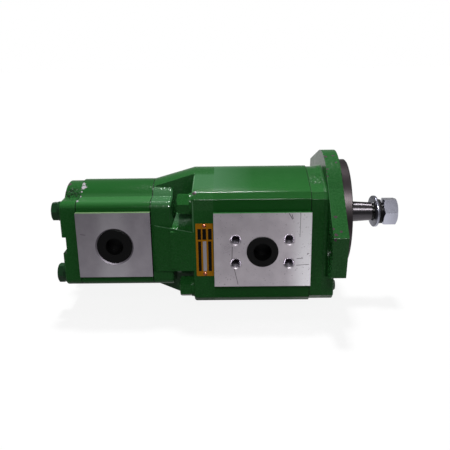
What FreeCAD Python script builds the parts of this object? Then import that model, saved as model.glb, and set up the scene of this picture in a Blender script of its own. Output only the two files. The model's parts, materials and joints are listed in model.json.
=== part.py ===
import FreeCAD, Part
import math
import os

# Tandem gear pump: two external gear pumps on one drive line.
# Row frame in millimetres: X runs along the shaft, out of the mounting flange.
# The origin is on the shaft axis at the flange's mounting face. Z is up.
# The drive gears turn about Z = 0 and the driven gears lie below them.

# Mounting flange, two-bolt, 101.6 mm pilot
PILOT_R = 50.8
PILOT_LENGTH = 10.0
PILOT_CHAMFER = 0.8
FLANGE_THICKNESS = 13.2
FLANGE_MARGIN = 4.7
FLANGE_ROOT_R = 2.5
BOLT_CIRCLE_R = 73.025
FLANGE_HOLE_R = 7.15
EAR_REACH = 88.0
EAR_SLOPE = 29.2
EAR_CORNER_R = 2.5
EAR_TILT = 10.3
SPOT_FACE_R = 15.0
SPOT_FACE_DEPTH = 0.8

# Stations along the shaft: lengths of the five housings
COVER_LENGTH = 28.0
LOBE_SETBACK = 5.6
FRONT_BODY_LENGTH = 86.6
ADAPTER_FLANGE = 19.3
ADAPTER_GAP = 19.1
ADAPTER_COLLAR = 18.9
ADAPTER_EDGE_R = 2.5
REAR_BODY_LENGTH = 67.6
REAR_COVER_LENGTH = 15.2

# Front pump, outline of its extruded body and of the castings on it
FRONT_SPACING = 35.8
FRONT_CROWN_R = 45.3
FRONT_HALF_WIDTH = 55.3
FRONT_LOBE_TOP = 34.3
FRONT_LOBE_CHAMFER = 5.3
FRONT_EDGE_R = 1.2
COVER_INSET = 1.0
COVER_EDGE_R = 1.5
FRONT_PAD_RISE = 6.1
FRONT_PAD_TOP = 18.2
FRONT_PAD_BOTTOM = -51.2

# Rear pump, outline of its extruded body and of the castings on it
REAR_SPACING = 32.4
REAR_CROWN_R = 34.6
REAR_COVER_CROWN_R = 33.4
REAR_HALF_WIDTH = 45.5
REAR_LOBE_TOP = 24.4
REAR_LOBE_R = 8.0
REAR_PAD_RISE = 4.0
REAR_PAD_TOP = 16.0
REAR_PAD_BOTTOM = -45.9
REAR_SLOT_HALF = 8.0
REAR_SLOT_DEPTH = 4.0
REAR_COVER_EDGE_R = 2.2

# Gears: equal pairs with involute teeth
TEETH = 12
PRESSURE_ANGLE = 25.0
ADDENDUM_FACTOR = 1.0
DEDENDUM_FACTOR = 1.2
BACKLASH = 0.16
FLANK_STEPS = 4
FRONT_BLOCK_LENGTH = 22.5
REAR_BLOCK_LENGTH = 18.0
FRONT_JOURNAL_R = 12.0
REAR_JOURNAL_R = 9.5
BUSH_WALL = 1.6
TIP_CLEARANCE = 0.3
SIDE_CLEARANCE = 0.1
BEARING_CLEARANCE = 0.06
SEAT_CLEARANCE = 0.03
BLOCK_CLEARANCE = 0.04

# Drive shaft end: 1 in 8 taper, key, thread and what is on it
TAPER_START = -1.9
TAPER_START_R = 11.11
TAPER_END = 36.8
TAPER_RATIO = 8.0
TAPER_CHAMFER = 0.5
THREAD_R = 7.94
THREAD_UNDERCUT = 0.9
THREAD_UNDERCUT_LENGTH = 2.0
SHAFT_END = 59.4
SHAFT_CHAMFER = 1.0
KEY_SETBACK = 13.8
KEY_ANGLE = 90.0
KEY_R = 9.5
KEY_WIDTH = 6.3
KEY_PROUD = 2.8
KEY_CUT = 1.5
WASHER_R = 15.2
WASHER_THICKNESS = 2.6
WASHER_BORE_R = 8.8
WASHER_TURN = 7.5
WASHER_GAP = 1.3
SPRING_WASHER_R = 11.7
SPRING_WASHER_THICKNESS = 2.8
SPRING_WASHER_RISE = 1.0
SPRING_WASHER_GAP = 12.0
SPRING_WASHER_LEAN = 4.0
SPRING_WASHER_PLAY = 0.5
SPRING_WASHER_STEPS = 8
NUT_SETBACK = 10.0
NUT_LENGTH = 13.6
NUT_FLATS = 24.0
NUT_TURN = 53.0

# Shaft seal in the pilot
SEAL_BORE_R = 19.0
SEAL_SINK = 16.0
SEAL_THICKNESS = 7.0
SEAL_LEAD_IN = 1.0
SEAL_WALL = 2.0
SEAL_FLANGE = 2.2
SEAL_LIP = 0.9
SEAL_LIP_CLEARANCE = 0.05
SHAFT_BORE_R = 12.8
RING_GROOVE_R = 20.2
RING_THICKNESS = 1.3
RING_WIDTH = 2.4
RING_OPENING = 30.0
RING_LUG_R = 1.9
RING_EYE_R = 0.9

# Studs that clamp the front pump, and bolts that hold the rear one
STUD_Y = 43.5
STUD_Z_OFFSET = 40.2
STUD_R = 5.0
STUD_FRONT_PROUD = 2.5
STUD_REAR_PROUD = 0.8
STUD_CHAMFER = 0.8
STUD_NUT_FLATS = 17.0
STUD_NUT_LENGTH = 10.8
STUD_NUT_TURNS = (49.5, 28.3, 12.0, 50.0)
STUD_WASHER_R = 9.6
STUD_WASHER_THICKNESS = 2.4
REAR_BOLT_Y = 35.0
REAR_BOLT_Z_OFFSET = 30.4
REAR_BOLT_R = 5.0
REAR_BOLT_FLATS = 16.0
REAR_BOLT_HEAD = 5.6
REAR_BOLT_TURNS = (50.7, 58.7, 12.0, 35.0)
REAR_BOLT_REACH = 15.0
REAR_WASHER_R = 8.9
REAR_WASHER_THICKNESS = 2.3
HOLE_RUN_OUT = 1.0
FASTENER_CLEARANCE = 0.5
HEX_FACE_SHARE = 0.96
THREAD_CLEARANCE = 0.05

# Adapter between the pumps
HUMP_HALF_WIDTH = 15.0
HUMP_REAR_DROP = -0.4
HUMP_FRONT_DROP = 2.3
BAR_REAR_HALF = 22.8
BAR_FRONT_HALF = 18.7
BAR_DROP = 1.5
LEDGE_HALF_WIDTH = 38.0
LEDGE_HALF_HEIGHT = 28.9
LEDGE_INSET = 3.0
LEDGE_FLANK = 4.5
LEDGE_HOLLOW = 1.8
LEDGE_ROOT = 1.0
COUPLING_BORE_R = 14.6

# Coupling sleeve and the splined shaft ends in it
SPLINE_TEETH = 10
SPLINE_R = 9.0
SPLINE_DEPTH = 1.6
SPLINE_TIP_SHARE = 0.4
SPLINE_FOOT_SHARE = 0.56
SPLINE_CLEARANCE = 0.05
SLEEVE_R = 14.0
SLEEVE_FRONT_GAP = 3.0
SLEEVE_LENGTH = 46.0
SLEEVE_CHAMFER = 1.0
FRONT_TAIL_LENGTH = 22.0
REAR_NOSE_LENGTH = 20.0

# Ports and their shipping plugs
FRONT_PORT_R = 9.5
FRONT_PORT_BOLT_X = 47.6
FRONT_PORT_BOLT_Z = 22.2
FRONT_PORT_BOLT_R = 4.25
FRONT_PORT_BOLT_DEPTH = 19.0
FRONT_PORT_DRILL_TIP = 2.5
FRONT_PORT_BOLT_CHAMFER = 0.9
FRONT_PLUG_DISC_R = 14.2
PLUG_EDGE = 0.4
FRONT_PLUG_DISC_THICKNESS = 1.2
PLUG_BODY_CLEARANCE = 0.08
PLUG_WALL = 1.3
FRONT_PLUG_DEPTH = 16.0
REAR_PORT_R = 16.1
REAR_PORT_DEPTH = 17.0
REAR_PORT_CHAMFER = 1.4
REAR_THROAT_R = 9.0
REAR_PLUG_DEPTH = 14.0
REAR_PLUG_SINK = 0.3
REAR_PLUG_RECESS_R = 8.0
PLUG_FLOOR = 2.0
PLUG_PULL_TAPER = 0.3

# Seals between the housings and behind the bearing blocks
SEAL_MARGIN = 2.0
SEAL_WIDTH = 2.4
SEAL_GROOVE_DEPTH = 2.0
PRESSURE_SEAL_DEPTH = 1.8
PRESSURE_SEAL_WIDTH = 2.2
PRESSURE_SEAL_MARGIN = 1.7
GROOVE_CLEARANCE = 0.03

# Dowels that line the housings up
DOWEL_R = 3.0
DOWEL_LENGTH = 14.0
FRONT_DOWEL_Y = 47.0
REAR_DOWEL_Y = 37.0
DOWEL_CLEARANCE = 0.02

# Data plate on the adapter's near side
PLATE_LENGTH = 50.2
PLATE_WIDTH = 15.6
PLATE_THICKNESS = 0.5
PLATE_CORNER_R = 0.8
PLATE_SETBACK = 10.8
RIVET_SPACING = 46.0
RIVET_R = 1.2
RIVET_HEAD_R = 1.9
RIVET_HEAD_HEIGHT = 0.9
RIVET_LENGTH = 5.0
RIVET_RUN_OUT = 0.5
RIVET_CROWN_R = 0.95
RIVET_SHOULDER_R = 1.7

# Stations worked out from the lengths
X_COVER = -COVER_LENGTH
X_FRONT_REAR = X_COVER - FRONT_BODY_LENGTH
X_FLANGE_REAR = X_FRONT_REAR - ADAPTER_FLANGE
X_COLLAR_FRONT = X_FLANGE_REAR - ADAPTER_GAP
X_ADAPTER_REAR = X_COLLAR_FRONT - ADAPTER_COLLAR
X_REAR_REAR = X_ADAPTER_REAR - REAR_BODY_LENGTH
X_TAIL = X_REAR_REAR - REAR_COVER_LENGTH

Z_FRONT_MID = -FRONT_SPACING / 2
Z_REAR_MID = -REAR_SPACING / 2
X_FRONT_PORT = (X_COVER + X_FRONT_REAR) / 2
X_REAR_PORT = (X_ADAPTER_REAR + X_REAR_REAR) / 2
X_KEY = TAPER_END - KEY_SETBACK
X_WASHER = TAPER_END + WASHER_GAP + WASHER_THICKNESS / 2
X_NUT = TAPER_END + NUT_SETBACK
FLANGE_DISC_R = FRONT_HALF_WIDTH + FLANGE_MARGIN
X_SEAL_BACK = PILOT_LENGTH - SEAL_SINK
X_PLATE = X_FLANGE_REAR + PLATE_SETBACK
Z_BAR_MID = Z_FRONT_MID - BAR_DROP
FRONT_PAD_Y = FRONT_HALF_WIDTH + FRONT_PAD_RISE
REAR_PAD_Y = REAR_HALF_WIDTH + REAR_PAD_RISE

FRONT_MODULE = FRONT_SPACING / TEETH
REAR_MODULE = REAR_SPACING / TEETH
FRONT_TIP_R = FRONT_SPACING / 2 + ADDENDUM_FACTOR * FRONT_MODULE
REAR_TIP_R = REAR_SPACING / 2 + ADDENDUM_FACTOR * REAR_MODULE
FRONT_CHAMBER_R = FRONT_TIP_R + TIP_CLEARANCE
REAR_CHAMBER_R = REAR_TIP_R + TIP_CLEARANCE

STUD_PLACES = [(side * STUD_Y, Z_FRONT_MID + up * STUD_Z_OFFSET) for side in (-1, 1) for up in (1, -1)]
REAR_BOLT_PLACES = [(side * REAR_BOLT_Y, Z_REAR_MID + up * REAR_BOLT_Z_OFFSET)
                    for side in (-1, 1) for up in (1, -1)]
FRONT_DOWEL_PLACES = [(side * FRONT_DOWEL_Y, Z_FRONT_MID) for side in (-1, 1)]
REAR_DOWEL_PLACES = [(side * REAR_DOWEL_Y, Z_REAR_MID) for side in (-1, 1)]

V = FreeCAD.Vector
AXIS_X = V(1, 0, 0)
AXIS_Y = V(0, 1, 0)
AXIS_Z = V(0, 0, 1)
ORIGIN = V(0, 0, 0)
PAST = 5.0


def rod(radius, x0, x1, y=0.0, z=0.0):
    """A cylinder along X from x0 to x1."""
    start = min(x0, x1)
    return Part.makeCylinder(radius, abs(x1 - x0), V(start, y, z), AXIS_X)


def cone(r0, r1, x0, x1, y=0.0, z=0.0):
    """A truncated cone along X, r0 at x0 and r1 at x1, with x1 beyond x0."""
    return Part.makeCone(r0, r1, x1 - x0, V(x0, y, z), AXIS_X)


def cross_rod(radius, side, near, far, x, z):
    """A cylinder along Y on one side of the pump, from |y| = near to |y| = far."""
    return Part.makeCylinder(radius, far - near, V(x, side * near, z), V(0, side, 0))


def block(x0, x1, y0, y1, z0, z1):
    """A box between two corners."""
    low = V(min(x0, x1), min(y0, y1), min(z0, z1))
    return Part.makeBox(abs(x1 - x0), abs(y1 - y0), abs(z1 - z0), low)


def fuse(shapes):
    """One solid from touching shapes, with the seams between them removed."""
    joined = shapes[0].fuse(shapes[1:])
    return joined.removeSplitter()


def cut(shape, tools):
    """A shape with several tools taken out of it."""
    return shape.cut(tools)


def closed_face(edges):
    """A face from edges that follow each other round."""
    return Part.Face(Part.Wire(edges))


def line(a, b):
    return Part.LineSegment(a, b).toShape()


def arc(a, middle, b):
    return Part.Arc(a, middle, b).toShape()


def ring(r_out, r_in, x0, x1, y=0.0, z=0.0):
    """A tube along X."""
    return rod(r_out, x0, x1, y, z).cut(rod(r_in, x0 - PAST, x1 + PAST, y, z))


def turned(profile, y=0.0, z=0.0):
    """A solid of revolution about X from (x, r) corners."""
    points = [V(x, y, z + r) for x, r in profile]
    face = Part.Face(Part.makePolygon(points + points[:1]))
    return face.revolve(V(0, y, z), AXIS_X, 360)


def turned_across(profile, side, x, z):
    """A solid of revolution about a port axis from (depth, r) corners; depth is |y|."""
    points = [V(x + r, side * depth, z) for depth, r in profile]
    face = Part.Face(Part.makePolygon(points + points[:1]))
    return face.revolve(V(x, 0, z), AXIS_Y, 360)


def hexagon(flats, x0, x1, y, z, turn):
    """A hexagonal prism along X; turn is in degrees."""
    radius = flats / math.sqrt(3)
    corners = []
    for k in range(6):
        angle = math.radians(turn + 60 * k)
        corners.append(V(x0, y + radius * math.cos(angle), z + radius * math.sin(angle)))
    return Part.Face(Part.makePolygon(corners + corners[:1])).extrude(V(x1 - x0, 0, 0))


def hex_body(flats, x0, x1, y, z, turn, chamfer_low, chamfer_high):
    """A hexagon whose corners are turned off at either end by a 30 degree cone."""
    corner_r = flats / math.sqrt(3)
    face_r = HEX_FACE_SHARE * flats / 2
    fall = (corner_r - face_r) * math.tan(math.radians(30))
    profile = [(x0, 0), (x0, face_r if chamfer_low else corner_r)]
    if chamfer_low:
        profile.append((x0 + fall, corner_r))
    if chamfer_high:
        profile.append((x1 - fall, corner_r))
    profile += [(x1, face_r if chamfer_high else corner_r), (x1, 0)]
    return hexagon(flats, x0, x1, y, z, turn).common(turned(profile, y, z))


def stadium(radius, spacing, x0, x1):
    """A racetrack bar round both gear axes, along X."""
    top = V(x0, 0, radius)
    right_top = V(x0, radius, 0)
    right_low = V(x0, radius, -spacing)
    low = V(x0, 0, -spacing - radius)
    left_low = V(x0, -radius, -spacing)
    left_top = V(x0, -radius, 0)
    edges = [arc(left_top, top, right_top), line(right_top, right_low),
             arc(right_low, low, left_low), line(left_low, left_top)]
    return closed_face(edges).extrude(V(x1 - x0, 0, 0))


def figure_eight(radius, spacing, x0, x1):
    """Two bores that overlap, one about each gear axis."""
    return fuse([rod(radius, x0, x1), rod(radius, x0, x1, 0, -spacing)])


def front_outline(x0, x1, inset=0.0):
    """The front pump's section: crowns over the gears, sloping to chamfered bolt lobes."""
    radius = FRONT_CROWN_R - inset
    half = FRONT_HALF_WIDTH - inset
    top = FRONT_LOBE_TOP - inset
    corner_y = half - FRONT_LOBE_CHAMFER
    reach = math.hypot(corner_y, top)
    lean = math.atan2(corner_y, top) - math.acos(radius / reach)
    touch_y = radius * math.sin(lean)
    touch_z = radius * math.cos(lean)
    shoulder = top - FRONT_LOBE_CHAMFER

    def upper(y, z):
        return V(x0, y, z)

    def lower(y, z):
        return V(x0, y, -FRONT_SPACING - z)

    edges = [arc(upper(-touch_y, touch_z), upper(0, radius), upper(touch_y, touch_z))]
    path = [upper(touch_y, touch_z), upper(corner_y, top), upper(half, shoulder),
            lower(half, shoulder), lower(corner_y, top), lower(touch_y, touch_z)]
    edges += [line(a, b) for a, b in zip(path, path[1:])]
    edges.append(arc(lower(touch_y, touch_z), lower(0, radius), lower(-touch_y, touch_z)))
    path = [lower(-touch_y, touch_z), lower(-corner_y, top), lower(-half, shoulder),
            upper(-half, shoulder), upper(-corner_y, top), upper(-touch_y, touch_z)]
    edges += [line(a, b) for a, b in zip(path, path[1:])]
    solid = closed_face(edges).extrude(V(x1 - x0, 0, 0))
    return solid.makeFillet(FRONT_EDGE_R, lengthwise_edges(solid, corner_y - 1))


def lengthwise_edges(solid, beyond_y):
    """Straight edges along X that lie further than beyond_y from the middle plane."""
    chosen = []
    for edge in solid.Edges:
        a, b = edge.Vertexes[0].Point, edge.Vertexes[-1].Point
        along = abs(a.y - b.y) < 1e-6 and abs(a.z - b.z) < 1e-6
        if along and abs(a.y) > beyond_y:
            chosen.append(edge)
    return chosen


def rear_outline(x0, x1, crown_r=REAR_CROWN_R):
    """The rear pump's section: a crown over each gear between four round bolt lobes."""
    slab = block(x0, x1, -REAR_HALF_WIDTH, REAR_HALF_WIDTH,
                 REAR_LOBE_TOP, -REAR_SPACING - REAR_LOBE_TOP)
    slab = slab.makeFillet(REAR_LOBE_R, lengthwise_edges(slab, REAR_HALF_WIDTH - 1))
    crowns = [rod(crown_r, x0, x1), rod(crown_r, x0, x1, 0, -REAR_SPACING)]
    return fuse([slab] + crowns)


def holes_along(places, radius, x0, x1):
    """One rod along X at each place."""
    return [rod(radius, x0, x1, y, z) for y, z in places]


def flange_plate():
    """The mounting flange: a disc with two straight-sided ears, tilted about the shaft."""
    slope = math.radians(EAR_SLOPE)
    touch_y = FLANGE_DISC_R * math.sin(slope)
    touch_z = FLANGE_DISC_R * math.cos(slope)
    end_z = touch_z - (EAR_REACH - touch_y) * math.tan(slope)
    upper = [V(0, -EAR_REACH, end_z), V(0, -touch_y, touch_z), V(0, touch_y, touch_z),
             V(0, EAR_REACH, end_z)]
    lower = [V(0, p.y, -p.z) for p in reversed(upper)]
    outline = upper + lower
    ears = Part.Face(Part.makePolygon(outline + outline[:1])).extrude(V(-FLANGE_THICKNESS, 0, 0))
    ears = ears.makeFillet(EAR_CORNER_R, lengthwise_edges(ears, EAR_REACH - 1))
    plate = fuse([ears, rod(FLANGE_DISC_R, -FLANGE_THICKNESS, 0)])
    for side in (-1, 1):
        plate = plate.cut(rod(FLANGE_HOLE_R, -FLANGE_THICKNESS - PAST, PAST, side * BOLT_CIRCLE_R, 0))
    plate.rotate(ORIGIN, AXIS_X, EAR_TILT)
    return plate


def rounded_root(solid):
    """The cover with a hollow fillet where its lobed body meets the flange's back face."""
    back = -FLANGE_THICKNESS
    root = []
    for edge in solid.Edges:
        faces = solid.ancestorsOfType(edge, Part.Face)
        on_back = edge.BoundBox.XLength < 1e-6 and abs(edge.BoundBox.XMin - back) < 1e-6
        if on_back and min(face.BoundBox.XMin for face in faces) < back - 1:
            root.append(edge)
    return solid.makeFillet(FLANGE_ROOT_R, root)


def spot_faces():
    """Round recesses on the ears' back faces, where the mounting bolts' heads sit."""
    tools = []
    for side in (-1, 1):
        back = -FLANGE_THICKNESS
        tool = rod(SPOT_FACE_R, back - PAST, back + SPOT_FACE_DEPTH, side * BOLT_CIRCLE_R, 0)
        tool.rotate(ORIGIN, AXIS_X, EAR_TILT)
        tools.append(tool)
    return tools


def seal_groove(chamber_r, spacing, face_x, inward):
    """A racetrack groove in a housing's end face, round the gear chamber."""
    inner = chamber_r + SEAL_MARGIN
    outer = inner + SEAL_WIDTH
    x1 = face_x + inward * SEAL_GROOVE_DEPTH
    return stadium(outer, spacing, face_x, x1).cut(stadium(inner, spacing, face_x, x1))


def seal_ring(chamber_r, spacing, face_x, inward):
    """The rubber seal that lies in that groove, flush with the end face."""
    inner = chamber_r + SEAL_MARGIN + GROOVE_CLEARANCE
    outer = chamber_r + SEAL_MARGIN + SEAL_WIDTH - GROOVE_CLEARANCE
    x1 = face_x + inward * (SEAL_GROOVE_DEPTH - GROOVE_CLEARANCE)
    return stadium(outer, spacing, face_x, x1).cut(stadium(inner, spacing, face_x, x1))


def dowel_holes(places, face_x):
    """Holes for the dowels across one joint face."""
    reach = DOWEL_LENGTH / 2 + DOWEL_CLEARANCE
    return holes_along(places, DOWEL_R + DOWEL_CLEARANCE, face_x - reach, face_x + reach)


def front_cover():
    """Cast cover of the front pump with the mounting flange, pilot and seal bore."""
    lobes = rounded_rim(front_outline(X_COVER, -LOBE_SETBACK, COVER_INSET), -LOBE_SETBACK, COVER_EDGE_R)
    plain = rod(PILOT_R, -1, PILOT_LENGTH - PILOT_CHAMFER)
    nose = cone(PILOT_R, PILOT_R - PILOT_CHAMFER, PILOT_LENGTH - PILOT_CHAMFER, PILOT_LENGTH)
    body = fuse([rounded_root(fuse([lobes, flange_plate()])), plain, nose])
    tools = spot_faces()
    tools = [tool.cut(rod(FLANGE_DISC_R, -FLANGE_THICKNESS - PAST, 0)) for tool in tools]
    tools.append(rod(SHAFT_BORE_R, X_COVER - PAST, PAST))
    tools.append(rod(SEAL_BORE_R, X_SEAL_BACK, PILOT_LENGTH + PAST))
    groove_x = X_SEAL_BACK + SEAL_THICKNESS
    tools.append(rod(RING_GROOVE_R, groove_x, groove_x + RING_THICKNESS + GROOVE_CLEARANCE))
    tools.append(cone(SEAL_BORE_R, SEAL_BORE_R + SEAL_LEAD_IN, PILOT_LENGTH - SEAL_LEAD_IN, PILOT_LENGTH))
    tools.append(seal_groove(FRONT_CHAMBER_R, FRONT_SPACING, X_COVER, 1))
    stud_end = STUD_FRONT_PROUD - LOBE_SETBACK + HOLE_RUN_OUT
    tools += holes_along(STUD_PLACES, STUD_R + THREAD_CLEARANCE, X_COVER - PAST, stud_end)
    tools += dowel_holes(FRONT_DOWEL_PLACES, X_COVER)
    return cut(body, tools)


def front_port(side):
    """Cutters for one flanged port: the bore into the chamber and its four bolt holes."""
    tools = [cross_rod(FRONT_PORT_R, side, 0, FRONT_PAD_Y + PAST, X_FRONT_PORT, Z_FRONT_MID)]
    for along in (-1, 1):
        for up in (-1, 1):
            x = X_FRONT_PORT + along * FRONT_PORT_BOLT_X / 2
            z = Z_FRONT_MID + up * FRONT_PORT_BOLT_Z / 2
            tip = FRONT_PAD_Y - FRONT_PORT_BOLT_DEPTH
            mouth_r = FRONT_PORT_BOLT_R + FRONT_PORT_BOLT_CHAMFER
            profile = [(tip - FRONT_PORT_DRILL_TIP, 0), (tip, FRONT_PORT_BOLT_R),
                       (FRONT_PAD_Y - FRONT_PORT_BOLT_CHAMFER, FRONT_PORT_BOLT_R),
                       (FRONT_PAD_Y, mouth_r), (FRONT_PAD_Y + PAST, mouth_r), (FRONT_PAD_Y + PAST, 0)]
            tools.append(turned_across(profile, side, x, z))
    return tools


def front_body():
    """Extruded body of the front pump, with a port pad on each side."""
    shape = front_outline(X_FRONT_REAR, X_COVER)
    pads = block(X_FRONT_REAR, X_COVER, -FRONT_PAD_Y, FRONT_PAD_Y, FRONT_PAD_BOTTOM, FRONT_PAD_TOP)
    shape = fuse([shape, pads])
    tools = [figure_eight(FRONT_CHAMBER_R, FRONT_SPACING, X_FRONT_REAR - PAST, X_COVER + PAST)]
    tools += front_port(-1) + front_port(1)
    tools += holes_along(STUD_PLACES, STUD_R + FASTENER_CLEARANCE, X_FRONT_REAR - PAST, X_COVER + PAST)
    tools += dowel_holes(FRONT_DOWEL_PLACES, X_COVER)
    tools += dowel_holes(FRONT_DOWEL_PLACES, X_FRONT_REAR)
    return cut(shape, tools)


def hump():
    """The spine of the adapter: crowned above, flat below, it swells from one pump to the other."""
    def section(x, radius, spacing, drop):
        half = HUMP_HALF_WIDTH
        rise = math.sqrt(radius ** 2 - half ** 2)
        low = -spacing - radius - drop
        left_top, right_top = V(x, -half, rise), V(x, half, rise)
        left_low, right_low = V(x, -half, low), V(x, half, low)
        return Part.Wire([arc(left_top, V(x, 0, radius), right_top), line(right_top, right_low),
                          line(right_low, left_low), line(left_low, left_top)])
    rear = section(X_ADAPTER_REAR, REAR_CROWN_R, REAR_SPACING, HUMP_REAR_DROP)
    front = section(X_FLANGE_REAR, FRONT_CROWN_R, FRONT_SPACING, HUMP_FRONT_DROP)
    root = Part.Face(front).extrude(V(ADAPTER_EDGE_R + 1, 0, 0))
    return [Part.makeLoft([rear, front], True, True), root]


def bar():
    """The wide middle web of the adapter, which tapers from one pump's width to the other's."""
    def section(x, half_width, half_height):
        top = Z_BAR_MID + half_height
        bottom = Z_BAR_MID - half_height
        corners = [V(x, -half_width, bottom), V(x, half_width, bottom), V(x, half_width, top),
                   V(x, -half_width, top)]
        return Part.makePolygon(corners + corners[:1])
    rear = section(X_ADAPTER_REAR, REAR_HALF_WIDTH, BAR_REAR_HALF)
    front = section(X_FLANGE_REAR, FRONT_HALF_WIDTH, BAR_FRONT_HALF)
    root = Part.Face(front).extrude(V(ADAPTER_EDGE_R + 1, 0, 0))
    return [Part.makeLoft([rear, front], True, True), root]


def ledge():
    """The floors of the four nut pockets, raised behind a scooped front edge."""
    x0, x1 = X_COLLAR_FRONT - LEDGE_ROOT, X_FLANGE_REAR + LEDGE_ROOT
    outer = FRONT_HALF_WIDTH - LEDGE_INSET
    tip = LEDGE_HALF_HEIGHT
    root = BAR_FRONT_HALF - LEDGE_ROOT
    upper = [V(x0, LEDGE_HALF_WIDTH, Z_FRONT_MID + tip), V(x0, outer, Z_BAR_MID + root)]
    lower = [V(x0, outer, Z_BAR_MID - root), V(x0, LEDGE_HALF_WIDTH, Z_FRONT_MID - tip)]
    far = upper + lower
    near = [V(x0, -p.y, p.z) for p in reversed(far)]

    def scoop(p, q):
        """A hollow arc between two corners."""
        inwards = V(x0, 0, Z_FRONT_MID) - (p + q) * 0.5
        inwards.normalize()
        return arc(p, (p + q) * 0.5 + inwards * LEDGE_HOLLOW, q)

    edges = [scoop(far[0], far[1]), line(far[1], far[2]), scoop(far[2], far[3]), line(far[3], near[0]),
             scoop(near[0], near[1]), line(near[1], near[2]), scoop(near[2], near[3]),
             line(near[3], far[0])]
    solid = closed_face(edges).extrude(V(x1 - x0, 0, 0))
    return cut(solid, [ledge_flank(1), ledge_flank(-1)])


def ledge_flank(up):
    """A wedge across the pump that slopes the rear end of two pocket floors."""
    outer_z = Z_FRONT_MID + up * (LEDGE_HALF_HEIGHT + LEDGE_ROOT)
    inner_z = Z_BAR_MID + up * (BAR_REAR_HALF - 2 * LEDGE_ROOT)
    corners = [V(X_COLLAR_FRONT - PAST, -FRONT_HALF_WIDTH, outer_z),
               V(X_COLLAR_FRONT + LEDGE_FLANK, -FRONT_HALF_WIDTH, outer_z),
               V(X_COLLAR_FRONT, -FRONT_HALF_WIDTH, inner_z),
               V(X_COLLAR_FRONT - PAST, -FRONT_HALF_WIDTH, inner_z)]
    return Part.Face(Part.makePolygon(corners + corners[:1])).extrude(V(0, 2 * FRONT_HALF_WIDTH, 0))


def rounded_rim(solid, x, radius):
    """The solid with the rim of its end face at x rounded."""
    rim = [edge for edge in solid.Edges if all(abs(v.Point.x - x) < 1e-6 for v in edge.Vertexes)]
    return solid.makeFillet(radius, rim)


def adapter_housing():
    """Casting between the pumps: collar, spine, web and flange, with pockets for the nuts."""
    collar = rounded_rim(rear_outline(X_ADAPTER_REAR, X_COLLAR_FRONT), X_COLLAR_FRONT, ADAPTER_EDGE_R)
    flange = rounded_rim(front_outline(X_FLANGE_REAR, X_FRONT_REAR), X_FLANGE_REAR, ADAPTER_EDGE_R)
    body = fuse([flange, ledge(), collar] + hump() + bar())
    tools = [rod(COUPLING_BORE_R, X_ADAPTER_REAR - PAST, X_FRONT_REAR + PAST)]
    stud_hole_r = STUD_R + FASTENER_CLEARANCE
    tools += holes_along(STUD_PLACES, stud_hole_r, X_FLANGE_REAR - 1, X_FRONT_REAR + PAST)
    thread_r = REAR_BOLT_R + THREAD_CLEARANCE
    thread_end = X_ADAPTER_REAR + REAR_BOLT_REACH + HOLE_RUN_OUT
    tools += holes_along(REAR_BOLT_PLACES, thread_r, X_ADAPTER_REAR - PAST, thread_end)
    tools.append(seal_groove(FRONT_CHAMBER_R, FRONT_SPACING, X_FRONT_REAR, -1))
    tools.append(seal_groove(REAR_CHAMBER_R, REAR_SPACING, X_ADAPTER_REAR, 1))
    tools += dowel_holes(FRONT_DOWEL_PLACES, X_FRONT_REAR)
    tools += dowel_holes(REAR_DOWEL_PLACES, X_ADAPTER_REAR)
    for z in (-1, 1):
        tools.append(cross_rod(RIVET_R, -1, FRONT_HALF_WIDTH - RIVET_LENGTH, FRONT_HALF_WIDTH + 1,
                               X_PLATE, Z_FRONT_MID + z * RIVET_SPACING / 2))
    return cut(body, tools)


def rear_port(side):
    """Cutters for one threaded port: chamfered mouth, thread bore and throat."""
    face = REAR_PAD_Y
    floor = face - REAR_PORT_DEPTH
    mouth = REAR_PORT_R + REAR_PORT_CHAMFER
    profile = [(floor, 0), (floor, REAR_PORT_R), (face - REAR_PORT_CHAMFER, REAR_PORT_R),
               (face, mouth), (face + PAST, mouth), (face + PAST, 0)]
    throat = cross_rod(REAR_THROAT_R, side, 0, floor + 1, X_REAR_PORT, Z_REAR_MID)
    return [turned_across(profile, side, X_REAR_PORT, Z_REAR_MID), throat]


def rear_body():
    """Extruded body of the rear pump, with a port pad on each side."""
    shape = rear_outline(X_REAR_REAR, X_ADAPTER_REAR)
    pads = block(X_REAR_REAR, X_ADAPTER_REAR, -REAR_PAD_Y, REAR_PAD_Y, REAR_PAD_BOTTOM, REAR_PAD_TOP)
    shape = fuse([shape, pads])
    x0, x1 = X_REAR_REAR - PAST, X_ADAPTER_REAR + PAST
    tools = [figure_eight(REAR_CHAMBER_R, REAR_SPACING, x0, x1)]
    tools += rear_port(-1) + rear_port(1)
    tools += holes_along(REAR_BOLT_PLACES, REAR_BOLT_R + FASTENER_CLEARANCE, x0, x1)
    tools += dowel_holes(REAR_DOWEL_PLACES, X_ADAPTER_REAR)
    tools += dowel_holes(REAR_DOWEL_PLACES, X_REAR_REAR)
    return cut(shape, tools)


def rear_cover():
    """Cast end cover of the rear pump, with soft edges and a slot across its end face."""
    outline = rear_outline(X_TAIL, X_REAR_REAR, REAR_COVER_CROWN_R)
    shape = rounded_rim(outline, X_TAIL, REAR_COVER_EDGE_R)
    slot = block(X_TAIL - PAST, X_TAIL + REAR_SLOT_DEPTH, -REAR_HALF_WIDTH - PAST, REAR_HALF_WIDTH + PAST,
                 Z_REAR_MID - REAR_SLOT_HALF, Z_REAR_MID + REAR_SLOT_HALF)
    tools = [slot, seal_groove(REAR_CHAMBER_R, REAR_SPACING, X_REAR_REAR, -1)]
    bolt_hole_r = REAR_BOLT_R + FASTENER_CLEARANCE
    tools += holes_along(REAR_BOLT_PLACES, bolt_hole_r, X_TAIL - PAST, X_REAR_REAR + PAST)
    tools += dowel_holes(REAR_DOWEL_PLACES, X_REAR_REAR)
    return cut(shape, tools)


def involute(angle):
    return math.tan(angle) - angle


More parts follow.
